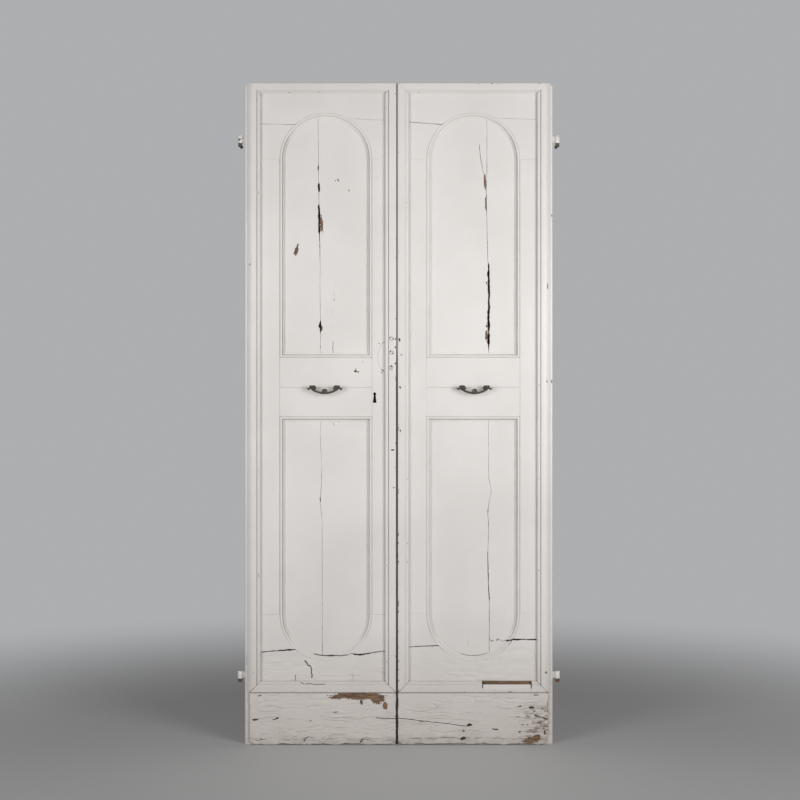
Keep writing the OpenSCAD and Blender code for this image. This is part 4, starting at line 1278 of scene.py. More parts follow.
class PanelsOperator(bpy.types.Operator):
    """Builds the split boards of the four panels"""

    bl_idname = "old_door.panels"
    bl_label = "Panels"

    def execute(self, context):
        for leaf in LEAVES:
            for height in ("upper", "lower"):
                for part in ("outer", "inner"):
                    self.board(leaf, height, part)
        return {"FINISHED"}

    def board(self, leaf, height, part):
        """Adds one board, with its half of the open joint in the middle of its panel."""
        sizes = lengths("timber")
        upper = height == "upper"
        name = "_".join((leaf.side, height, part, "board"))
        low, high = leaf.box("_".join((height, part, "board")))
        at_low = (part == "outer") == leaf.left
        x0 = leaf.open_low - TONGUE if at_low else low[0] - 0.3
        x1 = high[0] + 0.3 if at_low else leaf.open_high + TONGUE
        foot = leaf.lock_top - TONGUE if upper else leaf.lock_bottom + TONGUE
        spring = leaf.high_spring if upper else leaf.low_spring
        way = 1 if upper else -1
        far = spring + way * (leaf.arch_r + TONGUE)
        xs, zs = fine_stretches(name)
        joint_edge = "high_x" if at_low else "low_x"
        if not upper:
            zs.append((far + TONGUE + 12, far + TONGUE + 21))
        us = spaced(x0, x1, sizes.step, xs)
        vs = spaced(min(foot, far), max(foot, far), sizes.step, zs)

        def place(u, v):
            end = spring + way * leaf.arch_rise(u, TONGUE)
            return u.copy(), foot + (v - foot) * (end - foot) / (far - foot)

        skin = Skin(name, us, vs, place)
        skin.plane_marks(0.8 * sizes.unevenness, True)
        joint = leaf.side + "_" + height
        skin.drift(joint_edge, along(BOARD_DRIFT[joint], skin.z))
        skin.open_joint(joint_edge, along(BOARD_OPEN[joint], skin.z))
        skin.wear()
        # Darker on the panel beside its moulding: painted shade cast by the moulding, with some soiling
        past_spring = np.maximum((skin.z - spring) * way, 0)
        to_arch = leaf.arch_r - np.hypot(skin.x - leaf.arch_x, past_spring)
        to_rail = np.abs(skin.z - foot) - TONGUE
        to_moulding = np.minimum(to_arch, to_rail) - PANEL_MOULDING_W
        skin.stain(grime=0.5 * smooth(1 - to_moulding / 9))
        # Near-black along the foot of a lower panel where it has shrunk from its moulding: painted shade of
        # that gap
        if not upper:
            dark, reach = (0.95, 2.8) if leaf.left else (0.7, 1.6)
            skin.stain(crack=dark * heel_gap(leaf, skin.x, skin.z) * smooth(1 - to_moulding / reach))
        add_timber(
            leaf, skin, leaf.panel_front, leaf.panel_back, "paint_upright", square_back=True, wall=BOARD_WALL
        )


def arc_points(centre, radius, start, end, steps):
    """Points of an arc in a section, with angles in degrees."""
    turns = np.radians(np.linspace(start, end, steps + 1))
    return [(centre[0] + radius * math.cos(a), centre[1] + radius * math.sin(a)) for a in turns]


class MouldingsOperator(bpy.types.Operator):
    """Builds the mouldings round the panels and along the edges"""

    bl_idname = "old_door.mouldings"
    bl_label = "Mouldings"

    def execute(self, context):
        for leaf in LEAVES:
            self.panel_moulding(leaf, "upper")
            self.panel_moulding(leaf, "lower")
            for part in ("top", "bottom", "outer", "inner"):
                self.edge_moulding(leaf, part)
        return {"FINISHED"}

    def panel_section(self, depth, width):
        """Bead, hollow and flat, with u inwards from the opening and v out from the panel."""
        sizes = lengths("mouldings")
        bead, cove = sizes.panel_bead, sizes.panel_cove
        bead_v = depth - bead
        cove_v = bead_v - bead / 4
        points = [(0, 0)]
        points += arc_points((bead, bead_v), bead, 180, 0, 12)
        points += arc_points((2 * bead + cove, cove_v), cove, 180, 270, 8)
        points += [(width - 0.5, cove_v - cove), (width, cove_v - cove - 0.5), (width, 0)]
        return np.array(points)

    def edge_section(self, depth, width, rounding, open_quirk, skirt):
        """Flat, quirk and bead, with u inwards from the border, where paint may skirt it, and v out."""
        sizes = lengths("mouldings")
        flat, quirk, bead = sizes.edge_flat, sizes.edge_quirk, sizes.edge_bead
        bead_u = flat + quirk + bead
        bead_v = depth - quirk / 2 - bead
        fillet = width - flat - quirk - 2 * bead
        if skirt:
            rise = np.linspace(0, 1, 11)
            points = list(zip(-skirt + (skirt + rounding) * rise, depth * (1 - (1 - rise) ** 2)))
        else:
            points = [(0, 0)] + arc_points((rounding, depth - rounding), rounding, 180, 90, 7)
        if open_quirk == 0:
            fall = np.linspace(0, 1, 15)[1:]
            points += [(u, depth) for u in np.linspace(rounding, flat - 4, 9)[1:]]
            points += list(zip(flat - 4 + (width - flat + 4) * fall, depth - (depth - 0.2) * smooth(fall)))
            return np.array(points + [(width, 0)])
        points += [(u, depth) for u in np.linspace(rounding, flat - 1, 11)[1:]]
        points += [(flat - 0.5, depth - 0.1), (flat, depth - 0.6)]
        points += [(flat + quirk / 2, depth - open_quirk * sizes.edge_quirk_depth)]
        crisp = open_quirk > 0.8
        start, end = (180, 0) if crisp else (140, 40)
        points += arc_points((bead_u, bead_v), bead, start, end, 14)
        if crisp:
            points += [(bead_u + bead, fillet), (width - 0.4, fillet)]
        points += [(width, fillet - 0.4 if crisp else 0.2), (width, 0)]
        return np.array(points)

    def fill_holes(self, x, z, v, fields):
        """Stopped screw holes of a lost lock plate, which show through the paint."""
        for hx, hz in LOCK_HOLES:
            away = np.hypot(x - hx, z - hz)
            ring = smooth(1 - np.abs(away - 6) / 2.4)
            broken = smooth((noise(x / 3, z / 3, 61) - 0.3) / 0.4)
            deepen(fields, grime=0.9 * ring + 0.45 * smooth((9 - away) / 4), crack=0.5 * ring * broken)
            v -= (0.7 * ring + 0.3 * smooth((7 - away) / 4)) * (v > 2)

    def chip_moulding(self, name, x, z, v, fields, seed):
        """Adds the chips and cracks that are listed for a moulding."""
        for px, pz, rx, rz, dark in MOULDING_CHIPS.get(name, ()):
            away = np.hypot((x - px) / rx, (z - pz) / rz) * (0.7 + 0.6 * noise(x / 2, z / 2, seed + 5))
            chip = np.clip(1 - 0.5 * away, 0, 1)
            deepen(fields, bare=chip, crack=dark * chip)
            v -= 0.6 * smooth(2 * chip - 0.5) * (v > 2)
        for points, half in MOULDING_CRACKS.get(name, ()):
            split = np.clip(1 - 0.5 * to_line(x, z, points) / half, 0, 1)
            deepen(fields, crack=split)

    def add_sweep(self, leaf, part, places, fields, material, closed):
        """Closed piece from a grid of points: stations along the run, points round the section."""
        stations, around = places.shape[:2]
        grid = np.arange(stations * around).reshape(stations, around)
        following = np.roll(grid, -1, axis=0) if closed else grid[1:]
        first = grid if closed else grid[:-1]
        faces = np.stack(
            [first, following, np.roll(following, -1, axis=1), np.roll(first, -1, axis=1)], -1
        ).reshape(-1, 4).tolist()
        if not closed:
            faces += [grid[0].tolist(), grid[-1][::-1].tolist()]
        fields = {key: value.ravel() for key, value in fields.items()}
        return add_worn(leaf, leaf.side + "_" + part, (places.reshape(-1, 3), faces, fields), material)

    def panel_moulding(self, leaf, height):
        """Adds a closed run of moulding: two straight sides, a half circle and a strip at the lock rail."""
        upper = height == "upper"
        part = height + "_panel_moulding"
        depth = leaf.panel_front - leaf.mould_front
        width = PANEL_MOULDING_W
        section = self.panel_section(depth, width)
        way = 1 if upper else -1
        spring = leaf.high_spring if upper else leaf.low_spring
        foot = leaf.lock_top if upper else leaf.lock_bottom
        step = lengths("mouldings").step
        r, cx = leaf.arch_r, leaf.arch_x
        count = round(abs(spring - foot) / step)
        sides = np.linspace(foot, spring, count + 1)
        across = np.linspace(cx + r, cx - r, round(2 * r / step) + 1)
        turns = np.radians(np.linspace(0, 180, 61 if upper else 181))[1:-1]
        path, normal = [(cx - r, foot)], [(1, way)]
        path += [(cx - r, z) for z in sides[1:]]
        normal += [(1, 0)] * count
        path += [(cx - r * math.cos(a), spring + way * r * math.sin(a)) for a in turns]
        normal += [(math.cos(a), -way * math.sin(a)) for a in turns]
        path += [(cx + r, z) for z in sides[:0:-1]]
        normal += [(-1, 0)] * count
        path += [(cx + r, foot)]
        normal += [(-1, way)]
        path += [(x, foot) for x in across[1:-1]]
        normal += [(0, way)] * (len(across) - 2)
        path, normal = np.array(path, float), np.array(normal, float)
        u, v = section[None, :, 0], section[None, :, 1]
        x = path[:, None, 0] + normal[:, None, 0] * u
        z = path[:, None, 1] + normal[:, None, 1] * u
        seed = seed_of(leaf.side + part)
        lump = noise(x / 13, z / 13, seed) - 0.5 + 0.6 * (noise(x / 60, z / 60, seed + 1) - 0.5)
        raised = np.clip(v / depth, 0, 1)
        v = np.zeros_like(x) + v
        bead = lengths("mouldings").panel_bead
        hollow = (u > 2 * bead - 0.6) & (u < 2 * bead + 1.4)
        foot_line = u > width - 1.2
        outer_line = np.clip(1 - u / 1.4, 0, 1)
        on_left, on_right = (np.clip(way_x * normal[:, None, 0], 0, 1) for way_x in (1, -1))
        on_rail = np.clip(way * normal[:, None, 1], 0, 1)
        # Painted shade with some soiling at the outer edge, in the hollow and at the foot of the moulding,
        # stronger or weaker on each side as light falls there
        outer = on_left * (1.2 if leaf.left else 0.4) + on_right * 0.8 + on_rail
        inner = on_left * (0.7 if leaf.left else 0.3) + on_right * 0.6 + on_rail * 0.6
        band = on_left * (0.9 if leaf.left else 0.4) + on_right * 0.7 + on_rail * 0.7
        fields = {
            "bare": np.zeros_like(x) + np.where(raised > 0.93, 0.2, 0.0),
            "crack": 0.4 * outer * ((u < 0.1) & (section[None, :, 1] < 2)),
            "grime": 0.1 + band * hollow + 0.7 * inner * foot_line + 0.85 * outer * outer_line,
        }
        self.chip_moulding(leaf.side + "_" + part, x, z, v, fields, seed)
        arch = smooth((way * (z - spring) - 0.3 * r) / (0.5 * r))
        filled = (0.5 if upper else 0.9) * arch
        timber = leaf.panel_front - leaf.front
        slope = 0.5 + (timber - 0.5) * (1 - smooth(u / width))
        v = v + filled * (np.where(section[None, :, 1] > 0, slope, 0) - v)
        fields["grime"] = fields["grime"] * (1 - 0.8 * filled)
        y = leaf.panel_front - v + 0.5 * lump * (raised > 0.05)
        if not upper:
            dark = 0.95 if leaf.left else 0.6
            deepen(fields, crack=heel_gap(leaf, x, z) * foot_line * dark)
        self.add_sweep(leaf, part, np.stack([x, y, z], -1), fields, "paint_upright", True)

    def edge_moulding(self, leaf, end):
        """Adds one mitred length of the mouldings along the edges of a leaf."""
        part = end + "_moulding"
        low, high = leaf.box(part)
        depth = leaf.front - low[1]
        level = end in ("top", "bottom")
        length = high[0] - low[0] if level else high[2] - low[2]
        width = high[2] - low[2] if level else high[0] - low[0]
        name = leaf.side + "_" + part
        lines, open_quirk = MOULDING_LINES[name]
        sizes = lengths("mouldings")
        outer = end == "outer"
        rounding = (OUTER_ROUNDING if outer else 1.0) * sizes.edge_round
        section = self.edge_section(depth, width, rounding, open_quirk, OUTER_SKIRT if outer else 0.0)
        border = {"top": "high_z", "bottom": "low_z"}.get(end, "low_x" if outer == leaf.left else "high_x")
        start = (high if border == "high_x" else low)[0], (high if border == "high_z" else low)[2]
        run, inward = (1, 0) if level else (0, 1), INWARD[border]
        lost = name == "right_bottom_moulding"
        marks = []
        for px, pz, rx, rz, _ in MOULDING_CHIPS.get(name, ()):
            middle, reach = (px - low[0], rx + 3) if level else (pz - low[2], rz + 5)
            marks.append((middle - reach, middle + reach))
        for points, _ in MOULDING_CRACKS.get(name, ()):
            marks.append((points[0][0] - low[0] - 4, points[-1][0] - low[0] + 4))
        if lost:
            marks += [(edge - low[0] - 6, edge - low[0] + 6) for edge in LOST_BEAD]
        step = 3.0 if lost else sizes.step
        share = spaced(0.0, length, step, marks) / length
        u = np.broadcast_to(section[None, :, 0], (len(share), len(section)))
        v = np.broadcast_to(section[None, :, 1], u.shape).copy()
        inset = np.maximum(u, 0)
        s = inset + share[:, None] * (length - 2 * inset)
        spread = np.clip(1 - u / 12, 0, 1) if end == "inner" else 0.0
        x = start[0] + run[0] * s + inward[0] * (u - spread)
        z = start[1] + run[1] * s + inward[1] * u
        seed = seed_of(leaf.side + part)
        lump = noise(s / 17, u / 9, seed) - 0.5 + 0.8 * (noise(s / 110, u / 40, seed + 1) - 0.5)
        quirk_u = sizes.edge_flat + sizes.edge_quirk / 2
        bead_u = quirk_u + sizes.edge_quirk / 2 + sizes.edge_bead
        in_quirk = np.clip(1 - np.abs(u - quirk_u) / 1.2, 0, 1)
        crest = np.exp(-(((u - bead_u) / 2.2) ** 2)) + np.exp(-(((u - 3) / 2.5) ** 2)) * (v > 5)
        nick = smooth((noise(s / 9, u / 30, seed + 2) - 0.78) / 0.16) * crest
        # Painted shade with soiling in the quirk and along the foot, as dark as the table gives; inner and
        # bottom mouldings also get painted shade at their base, by the gap between the leaves and over the
        # kick board
        dirt_and_shade_share = 0.7 if end in ("inner", "bottom") else 0.1
        broken = 0.4 + 0.8 * waver(s / 40, seed + 3)
        foot_line = np.clip(1 - (width - u) / 2.4, 0, 1)
        fields = {
            "bare": 0.3 * crest * (0.6 + 0.7 * noise(s / 25, u / 8, seed + 4)) + 0.25 * nick,
            "crack": lines * 0.5 * in_quirk * broken + dirt_and_shade_share * 0.8 * (v < 1) * (u < 1),
            "grime": 0.1 + lines * (0.6 * in_quirk + 0.95 * foot_line) + dirt_and_shade_share * (u < 0.3),
        }
        to_end = np.minimum(s - inset, length - inset - s)
        at_foot = z < leaf.low_spring
        mitre = np.clip(1 - to_end / np.where(at_foot, 2.6, 1.8), 0, 1) * (u >= 0)
        mitre = mitre * np.where(at_foot, 1.0, 0.5) * (0.55 + 0.6 * noise(u / 7, s / 40, seed + 12))
        deepen(fields, crack=0.7 * mitre, grime=0.9 * mitre)
        # Near-black along the front arris beside the meeting edge, more towards the foot
        if end == "inner":
            darkened_top, fade = 1560, 500
            arris = np.clip(1.3 - u / 1.8, 0, 1) * (v > depth - 4.5) * smooth((darkened_top - z) / fade)
            deepen(fields, crack=0.8 * arris)
        if name == "right_inner_moulding":
            rubbed_top, fade = 860, 160
            specks = smooth((noise(s / 5, u / 3, seed + 9) - 0.5) / 0.3)
            rubbed = smooth(1 - u / 11) * specks * smooth((rubbed_top - z) / fade)
            deepen(fields, bare=0.85 * rubbed, crack=0.5 * rubbed)
        self.chip_moulding(name, x, z, v, fields, seed)
        if name == "left_inner_moulding":
            self.fill_holes(x, z, v, fields)
        if lost:
            self.lose_bead(x, u, v, quirk_u, fields, seed)
        y = leaf.front - v + (0.45 * lump + 0.8 * nick) * np.clip(v / 4, 0, 1)
        material = "paint_level" if level else "paint_upright"
        self.add_sweep(leaf, part, np.stack([x, y, z], -1), fields, material, False)

    def lose_bead(self, x, u, v, quirk_u, fields, seed):
        """Breaks the bead away over the stretch that has lost it, with a shelf below it."""
        start, end = LOST_BEAD
        shelf_u, bare_u = 14.0, quirk_u + 3.0
        shelf_v, slope = 12.2, 0.4
        ends = 4 * (waver(u / 4, seed + 7) - 0.5)
        inside = np.minimum(x - start - ends, end + ends - x)
        gone = (inside > 0) & (u > bare_u)
        shelf = (inside > 0) & (u > shelf_u) & ~gone
        rough = 2.2 + 1.4 * noise(x / 6, u / 3, seed + 8)
        np.copyto(v, np.minimum(v, rough), where=gone)
        np.copyto(v, np.minimum(v, shelf_v - slope * (u - shelf_u)), where=shelf)
        fields["bare"] = np.where(gone, 0.95, np.where(shelf, 0.0, fields["bare"]))
        outline = np.clip(1.3 - np.abs(inside) / 2.2, 0, 1) * (u > shelf_u)
        outline = np.maximum(outline, np.clip(1 - np.abs(u - bare_u) / 1.2, 0, 1) * (inside > 0))
        worn = 0.35 + 0.75 * waver(x / 13, seed + 10)
        outline = np.maximum(outline, worn * np.clip(1 - np.abs(u - shelf_u) / 1.7, 0, 1) * (inside > 0))
        fields["crack"] = np.where(inside > -3, 0.85 * outline, fields["crack"])
        # The shelf is kept clear of soiling and shade and lighter than the paint round it: a painted
        # highlight
        fields["grime"] = np.where(shelf, -0.7, fields["grime"])


class KickBoardsOperator(bpy.types.Operator):
    """Builds the worn kick boards"""

    bl_idname = "old_door.kick_boards"
    bl_label = "Kick boards"

    def execute(self, context):
        for leaf in LEAVES:
            self.kick_board(leaf)
        return {"FINISHED"}

    def kick_board(self, leaf):
        """Adds a board with lifted paint, a crust along its foot and eaten edges."""
        name = leaf.side + "_kick_board"
        low, high = leaf.box("kick_board")
        step = 0.8 * lengths("timber").step
        xs, zs = fine_stretches(name)
        skin = Skin(name, spaced(low[0], high[0], step, xs), spaced(low[2], high[2], 0.6 * step, zs))
        skin.plane_marks(1.2, False)
        skin.lift_paint(((70, 9, 2.1), (34, 5, 1.3)), 0.07, 0.32)
        seed = skin.seed
        bites = waver(skin.x / 34, seed + 11) + 0.5 * waver(skin.x / 11, seed + 12)
        foot = 6.0 * np.clip(bites - 0.35, 0, 2)
        for corner in (low[0], high[0]):
            foot = foot + 10 * smooth(1 - np.abs(skin.x - corner) / 18)
        crust_z = 10 + 12 * waver(skin.x / 46, seed + 16) + 7 * waver(skin.x / 14, seed + 17)
        skin.sink -= 1.5 * smooth((crust_z - skin.z) / 2.5)
        # Broken dark line along the top edge of the crust: painted shade of that edge with soiling
        broken = smooth((noise(skin.x / 17, skin.z / 9, 4) - 0.36) / 0.2)
        crust_line = smooth(1 - np.abs(crust_z - skin.z + 1) / 2.2) * broken
        skin.stain(grime=0.9 * crust_line, crack=0.62 * crust_line)
        if not leaf.left:
            self.flake(skin)
        skin.eat_edge("low_z", foot, 22)
        for edge in ("low_x", "high_x"):
            ragged = 1.6 * waver(skin.z / 13, seed + 13)
            if edge == "high_x" and not leaf.left:
                ragged = ragged + 7 * smooth(1 - skin.z / 70) * waver(skin.z / 9, seed + 14)
            skin.eat_edge(edge, ragged, 18)
        for edge, radius, wear, rough in (
            ("low_z", 4.0, 0.5, 1.0),
            ("low_x", 2.8, 0.46, 1.0),
            ("high_x", 2.8, 0.46, 1.0),
            ("high_z", 1.6, 0.25, 0.8),
        ):
            skin.ease(edge, radius, wear, rough)
        down = high[2] - skin.z
        # Darker towards the floor, and painted shadow under the bottom moulding along the top of the board,
        # with soiling
        skin.stain(grime=0.34 * smooth(1 - skin.z / 60))
        skin.stain(grime=smooth(1 - down / 5), crack=0.66 * smooth(1 - down / 2.4))
        skin.wear()
        add_timber(leaf, skin, low[1], high[1], "paint_level", wall=KICK_WALL, hidden_back=True)

    def flake(self, skin):
        """Lets the paint come off in sheets near the outer foot of the right board."""
        from_x, to_z = 375, 150
        flaked = smooth((skin.x - from_x) / 60) * smooth((to_z - skin.z) / 40)
        sheet = noise(skin.x / 17 + noise(skin.x / 9, skin.z / 5, 8), skin.z / 6, skin.seed + 18)
        fleck = flaked * smooth((sheet - 0.5) / 0.16)
        rim = smooth(1 - np.abs(sheet - 0.52) / 0.05) * smooth((noise(skin.x / 7, skin.z / 4, 9) - 0.4) / 0.2)
        worn = smooth((noise(skin.x / 6, skin.z / 3, 7) - 0.3) / 0.3)
        skin.stain(grime=0.6 * fleck, bare=0.56 * fleck * worn, crack=0.75 * flaked * rim)
        skin.sink += 1.1 * fleck


def tube(bm, points, radii, sides=14):
    """Adds a closed tube along points, with a radius at each and flat ends."""
    points = np.array(points, float)
    tangents = np.gradient(points, axis=0)
    tangents /= np.linalg.norm(tangents, axis=1)[:, None]
    guide = np.array((0.0, 1.0, 0.0))
    rings = []
    for centre, tangent, radius in zip(points, tangents, radii):
        axis = guide if abs(tangent @ guide) < 0.9 else np.array((1.0, 0.0, 0.0))
        first = np.cross(tangent, axis)
        first /= np.linalg.norm(first)
        second = np.cross(tangent, first)
        ring = []
        for k in range(sides):
            turn = 2 * math.pi * k / sides
            ring.append(bm.verts.new(centre + radius * (math.cos(turn) * first + math.sin(turn) * second)))
        rings.append(ring)
    for one, other in zip(rings, rings[1:]):
        for k in range(sides):
            following = (k + 1) % sides
            bm.faces.new((one[k], one[following], other[following], other[k]))
    bm.faces.new(rings[0][::-1])
    bm.faces.new(rings[-1])


def ball(bm, centre, radius, squash=(1, 1, 1)):
    """Adds a ball, flattened where asked."""
    made = bmesh.ops.create_icosphere(bm, subdivisions=3, radius=1.0)
    for vert in made["verts"]:
        vert.co = [c + radius * f * p for c, f, p in zip(centre, squash, vert.co)]


class PullsOperator(bpy.types.Operator):
    """Casts the two pulls: scrolled bosses, a dipping bar and a shell in the middle"""

    bl_idname = "old_door.pulls"
    bl_label = "Pulls"

    def execute(self, context):
        for leaf in LEAVES:
            self.pull(leaf)
        return {"FINISHED"}

    def pull(self, leaf):
        """Casts one pull and fuses its parts into a single skin."""
        low, high = leaf.box("pull_handle")
        middle = (low[0] + high[0]) / 2
        face = low[1] + 6.6
        bm = bmesh.new()
        for way in (-1, 1):
            self.post_and_scroll(bm, way, leaf.front, face)
        self.bar_and_shell(bm, face)
        for vert in bm.verts:
            vert.co = ((vert.co.x + middle) * MM, vert.co.y * MM, (vert.co.z + PULL_Z) * MM)
        bmesh.ops.recalc_face_normals(bm, faces=bm.faces)
        name = leaf.side + "_pull_handle"
        mesh = bpy.data.meshes.new("rough_" + name)
        bm.to_mesh(mesh)
        bm.free()
        rough = add_object("rough_" + name, mesh)
        fuse = rough.modifiers.new("fuse", "REMESH")
        fuse.mode = "VOXEL"
        fuse.voxel_size = settings("iron").pull_skin
        soften = rough.modifiers.new("soften", "SMOOTH")
        soften.factor = 0.5
        soften.iterations = 2
        tie(settle(rough, "cast_" + name, finish("cast_iron")), leaf.body, [name])

    def post_and_scroll(self, bm, way, wall, face):
        """One post with its foot, its scroll and the leaf that ends outside it."""
        depth = face - wall
        x = way * PULL_POST
        tube(bm, [(x, wall, 0), (x, wall - 1.6, 0), (x, wall - 3.2, 0)], (8.2, 7.8, 5.6), 24)
        tube(bm, [(x, wall - 2, 0), (x, wall + 0.45 * depth, 0), (x, face + 3, 0)], (5.0, 3.9, 4.6), 20)
        turns = np.linspace(0.15, 2.75 * math.pi, 40)
        scroll = []
        for a in turns:
            r = 6.8 - 1.55 * a / math.pi
            across = 1.5 + r * math.cos(a)
            scroll.append((x - way * across, face + 1.5 - 0.5 * a, 1 - r * math.sin(a) * 0.9))
        tube(bm, scroll, np.linspace(3.5, 2.3, len(scroll)))
        ball(bm, (x - way * 1.5, face - 2.2, 1), 3.4)
        curl = []
        for a in np.linspace(0, 1.9 * math.pi, 26):
            r = 4.0 - 1.2 * a / math.pi
            curl.append((x + way * (8.0 - r * math.cos(a)), face + 2.2 - 0.3 * a, 1.8 + r * math.sin(a)))
        tube(bm, curl, np.linspace(2.8, 1.9, len(curl)))
        tip = [(7.0, 1.0), (10.0, -1.2), (12.8, -3.8), (15.4, -5.0), (17.8, -4.0), (19.6, -1.6)]
        line = [(x + way * across, face + 2.5 + 0.16 * across, up) for across, up in tip]
        tube(bm, line, (3.8, 3.5, 3.1, 2.9, 2.3, 1.6))
        ball(bm, (x + way * 15.0, face + 4.0, -4.6), 3.3)
        ball(bm, line[-1], 1.8)

    def bar_and_shell(self, bm, face):
        """Bar that dips between the scrolls, with a ribbed shell at its middle."""
        t = np.linspace(-1, 1, 41)
        half, dip = PULL_POST + 5, 17.5
        bar = [(half * k, face + 3.4 - 3.6 * (1 - k * k), -dip + (dip - 4) * abs(k) ** 2.2) for k in t]
        tube(bm, bar, 3.6 - 0.4 * np.exp(-((np.abs(t) - 0.5) / 0.2) ** 2), 18)
        for lean in (-2, -1, 0, 1, 2):
            rib = []
            for s in np.linspace(0, 1, 9):
                rise = (13.0 - 0.35 * lean * lean) * s
                bulge = 3.0 * math.sin(2.6 * s) * (1 - 0.12 * abs(lean))
                rib.append((lean * (4.4 - 1.5 * s), face - 1.4 - bulge, rise - dip - 1))
            tube(bm, rib, np.linspace(2.2, 2.1, 9), 12)
            ball(bm, rib[-1], 2.2)
        ball(bm, (0, face - 2.0, -dip - 0.6), 3.6, (2.4, 0.9, 0.8))


def screw_tree():
    """Geometry tree that puts a slotted screw head on each point, facing the back of the door."""
    tree = bpy.data.node_groups.new("slotted_screws", "GeometryNodeTree")
    keys = {}
    for name, kind in (("Geometry", "Geometry"), ("Head radius", "Float"), ("Iron", "Material")):
        socket = tree.interface.new_socket(name, in_out="INPUT", socket_type="NodeSocket" + kind)
        keys[name] = socket.identifier
    tree.interface.new_socket("Geometry", in_out="OUTPUT", socket_type="NodeSocketGeometry")

    def add(kind, inputs, **choices):
        return add_node(tree, kind, choices, inputs).outputs[0]

    source = add_node(tree, "NodeGroupInput").outputs
    radius = source["Head radius"]
    flatness, most_turn = 0.42, 1.2
    head = add("GeometryNodeMeshUVSphere", {"Segments": 20, "Rings": 10, "Radius": radius})
    head = add("GeometryNodeTransform", {"Geometry": head, "Scale": (1, 1, flatness)})
    slot_size = add("ShaderNodeVectorMath", {0: (3.0, 0.26, 0.36), "Scale": radius}, operation="SCALE")
    slot_place = add("ShaderNodeVectorMath", {0: (0, 0, flatness), "Scale": radius}, operation="SCALE")
    slot = add("GeometryNodeMeshCube", {"Size": slot_size})
    slot = add("GeometryNodeTransform", {"Geometry": slot, "Translation": slot_place})
    head = add("GeometryNodeMeshBoolean", {"Mesh 1": head, "Mesh 2": slot}, operation="DIFFERENCE")
    to_back = (math.radians(-90), 0, 0)
    screws = {"Points": source["Geometry"], "Instance": head, "Rotation": to_back}
    screws = add("GeometryNodeInstanceOnPoints", screws)
    limits = {"Min": (0, 0, -most_turn), "Max": (0, 0, most_turn), "Seed": 5}
    turn = add("FunctionNodeRandomValue", limits, data_type="FLOAT_VECTOR")
    screws = add("GeometryNodeRotateInstances", {"Instances": screws, "Rotation": turn})
    screws = add("GeometryNodeRealizeInstances", {"Geometry": screws})
    screws = add("GeometryNodeSetMaterial", {"Geometry": screws, "Material": source["Iron"]})
    add_node(tree, "NodeGroupOutput", inputs={"Geometry": screws})
    return tree, keys["Head radius"], keys["Iron"]


class IronworkOperator(bpy.types.Operator):
    """Finishes the hinge eyes, pintles and lock, and adds the lock's screws"""

    bl_idname = "old_door.ironwork"
    bl_label = "Ironwork"

    def execute(self, context):
        for side in SIDES:
            for height in ("upper", "lower"):
                self.dress(f"{side}_{height}_hinge_eye", "painted_iron", 0.7)
                self.dress(f"{side}_{height}_pintle", "forged_iron", 0.8)
        for node in ("lock_case", "lock_bolt", "lock_keeper"):
            self.dress(node, "forged_iron", 0.9)
        self.screws()
        return {"FINISHED"}

    def dress(self, node, slot, arris):
        """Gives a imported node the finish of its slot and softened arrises."""
        piece = frame["nodes"][node]
        piece.data.materials.clear()
        piece.data.materials.append(finish(slot))
        weld = piece.modifiers.new("weld", "WELD")
        weld.merge_threshold = 0.02 * MM
        soften = piece.modifiers.new("arris", "BEVEL")
        soften.width = arris * MM
        soften.segments = 2
        soften.limit_method = "ANGLE"
        soften.angle_limit = math.radians(40)

    def screws(self):
        """One set of screws on the lock case and one on the keeper."""
        tree, radius, look = screw_tree()
        for node, body, inset in (("lock_case", "left_leaf", 9.0), ("lock_keeper", "right_leaf", 7.0)):
            low, high = span(node)
            xs, zs = (low[0] + inset, high[0] - inset), (low[2] + inset, high[2] - inset)
            if node == "lock_keeper":
                xs, zs = (xs[0] + 1, xs[1] - 1), ((zs[0] + zs[1]) / 2,)
            spots = [(x, high[1], z) for x in xs for z in zs]
            points = bpy.data.meshes.new(node + "_screw_points")
            points.from_pydata([tuple(MM * part for part in spot) for spot in spots], [], [])
            holder = add_object(node + "_screw_points", points)
            modifier = holder.modifiers.new("screws", "NODES")
            modifier.node_group = tree
            modifier[radius] = settings("iron").screw_radius
            modifier[look] = finish("forged_iron")
            tie(settle(holder, node + "_screws", finish("forged_iron")), body)


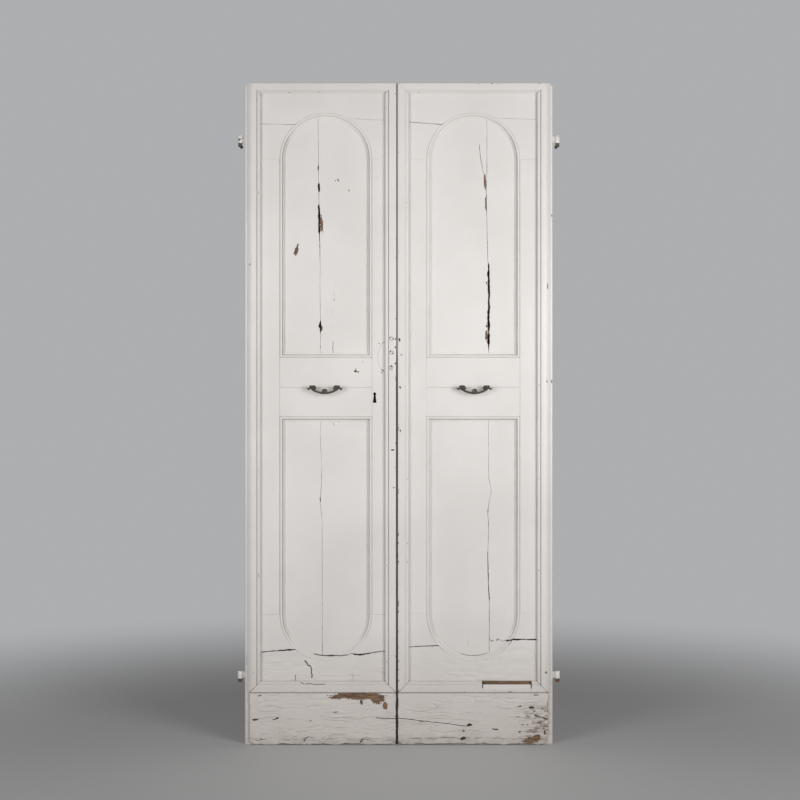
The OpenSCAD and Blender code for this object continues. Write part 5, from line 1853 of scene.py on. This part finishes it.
class StageOperator(bpy.types.Operator):
    """Adds the floor, the lamps, the surrounding light and the camera"""

    bl_idname = "old_door.stage"
    bl_label = "Stage"

    def execute(self, context):
        stage = settings("stage")
        self.floor(stage)
        self.lamp("key_lamp", stage.key, place=(2.1, -2.7, 1.5), size=1.7, aim_x=0.4)
        self.lamp("fill_lamp", stage.fill, place=(-2.2, -2.8, 1.5), size=1.7, aim_x=-0.2)
        self.lamp("window_lamp", stage.window, place=(1.75, -1.2, 1.15), size=0.5, aim_x=0.58, spread=40.0)
        self.surround(stage)
        self.camera(stage)
        context.scene.view_settings.view_transform = "Standard"
        return {"FINISHED"}

    def floor(self, stage):
        """Adds a wide floor whose far part fades into the background."""
        bm = bmesh.new()
        bmesh.ops.create_circle(bm, cap_ends=True, segments=96, radius=40.0)
        mesh = bpy.data.meshes.new("studio_floor")
        bm.to_mesh(mesh)
        bm.free()
        make = Finish("pale_floor")
        place = make.place()
        cloud = make.noise(place, 1.5, 3.0)
        colour = make.mix(cloud * 0.2, stage.floor, tuple(0.9 * part for part in stage.floor))
        away = make.node("ShaderNodeVectorMath", {"operation": "LENGTH"}, {0: place})
        far = make.ease(Value(make, away.outputs["Value"]), 0.9, 3.2)
        make.surface(colour, 0.7, cloud, 0.05 * MM)
        make.fade_to(stage.background, far)
        mesh.materials.append(make.material)
        add_object("studio_floor", mesh)

    def lamp(self, name, power, place, size, aim_x, spread=94.0):
        """Adds a square lamp that looks at a place on the leaves."""
        data = bpy.data.lights.new(name, "AREA")
        data.size = size
        data.energy = power
        data.spread = math.radians(spread)
        lamp = add_object(name, data)
        lamp.location = place
        aim = (aim_x, 0.0, 1.4)
        away = [a - b for a, b in zip(place, aim)]
        flat = math.hypot(away[0], away[1])
        lamp.rotation_euler = (math.atan2(flat, away[2]), 0, math.atan2(away[1], away[0]) + math.pi / 2)

    def surround(self, stage):
        """Sets an even light from all round, behind which the camera sees the background."""
        world = bpy.data.worlds.new("studio_light")
        world.use_nodes = True
        tree = world.node_tree
        tree.nodes.clear()
        path = add_node(tree, "ShaderNodeLightPath")
        seen = add_node(tree, "ShaderNodeBackground", inputs={0: (*stage.background, 1)})
        light = add_node(tree, "ShaderNodeBackground", inputs={0: (1, 1, 1, 1), 1: stage.ambient})
        parts = {0: path.outputs["Is Camera Ray"], 1: light.outputs[0], 2: seen.outputs[0]}
        mixed = add_node(tree, "ShaderNodeMixShader", inputs=parts)
        add_node(tree, "ShaderNodeOutputWorld", inputs={0: mixed.outputs[0]})
        bpy.context.scene.world = world

    def camera(self, stage):
        """Adds the camera straight in front of the leaves, where the photo was taken."""
        aside = 4 * MM
        data = bpy.data.cameras.new("photo_camera")
        data.sensor_width = 36.0
        data.lens = data.sensor_width * stage.distance / stage.view_width
        data.clip_end = 200.0
        camera = add_object("photo_camera", data)
        camera.location = (aside, -stage.distance + LEAVES[0].front * MM, stage.eye_height)
        camera.rotation_euler = (math.radians(90), 0, 0)
        bpy.context.scene.camera = camera


OPERATORS = (
    FramingOperator, PanelsOperator, MouldingsOperator, KickBoardsOperator, PullsOperator, IronworkOperator,
    StageOperator,
)


class OldDoorPanel(bpy.types.Panel):
    """Lists the steps that build the door"""

    bl_idname = "VIEW3D_PT_old_door"
    bl_label = "Old door"
    bl_space_type = "VIEW_3D"
    bl_region_type = "UI"
    bl_category = "Old door"

    def draw(self, context):
        for operator in OPERATORS:
            self.layout.operator(operator.bl_idname)
        for name in GROUPS:
            group = getattr(context.scene, name)
            for key in group.bl_rna.properties.keys():
                if key not in ("rna_type", "name"):
                    self.layout.prop(group, key)


CLASSES = (*GROUPS.values(), *OPERATORS, OldDoorPanel)


def register():
    for cls in CLASSES:
        bpy.utils.register_class(cls)
    for name, group in GROUPS.items():
        setattr(bpy.types.Scene, name, bpy.props.PointerProperty(type=group))


def unregister():
    for name in GROUPS:
        delattr(bpy.types.Scene, name)
    for cls in reversed(CLASSES):
        bpy.utils.unregister_class(cls)


def main():
    register()
    bpy.ops.old_door.framing()
    bpy.ops.old_door.panels()
    bpy.ops.old_door.mouldings()
    bpy.ops.old_door.kick_boards()
    bpy.ops.old_door.pulls()
    bpy.ops.old_door.ironwork()
    bpy.ops.old_door.stage()


if __name__ == "__main__":
    main()
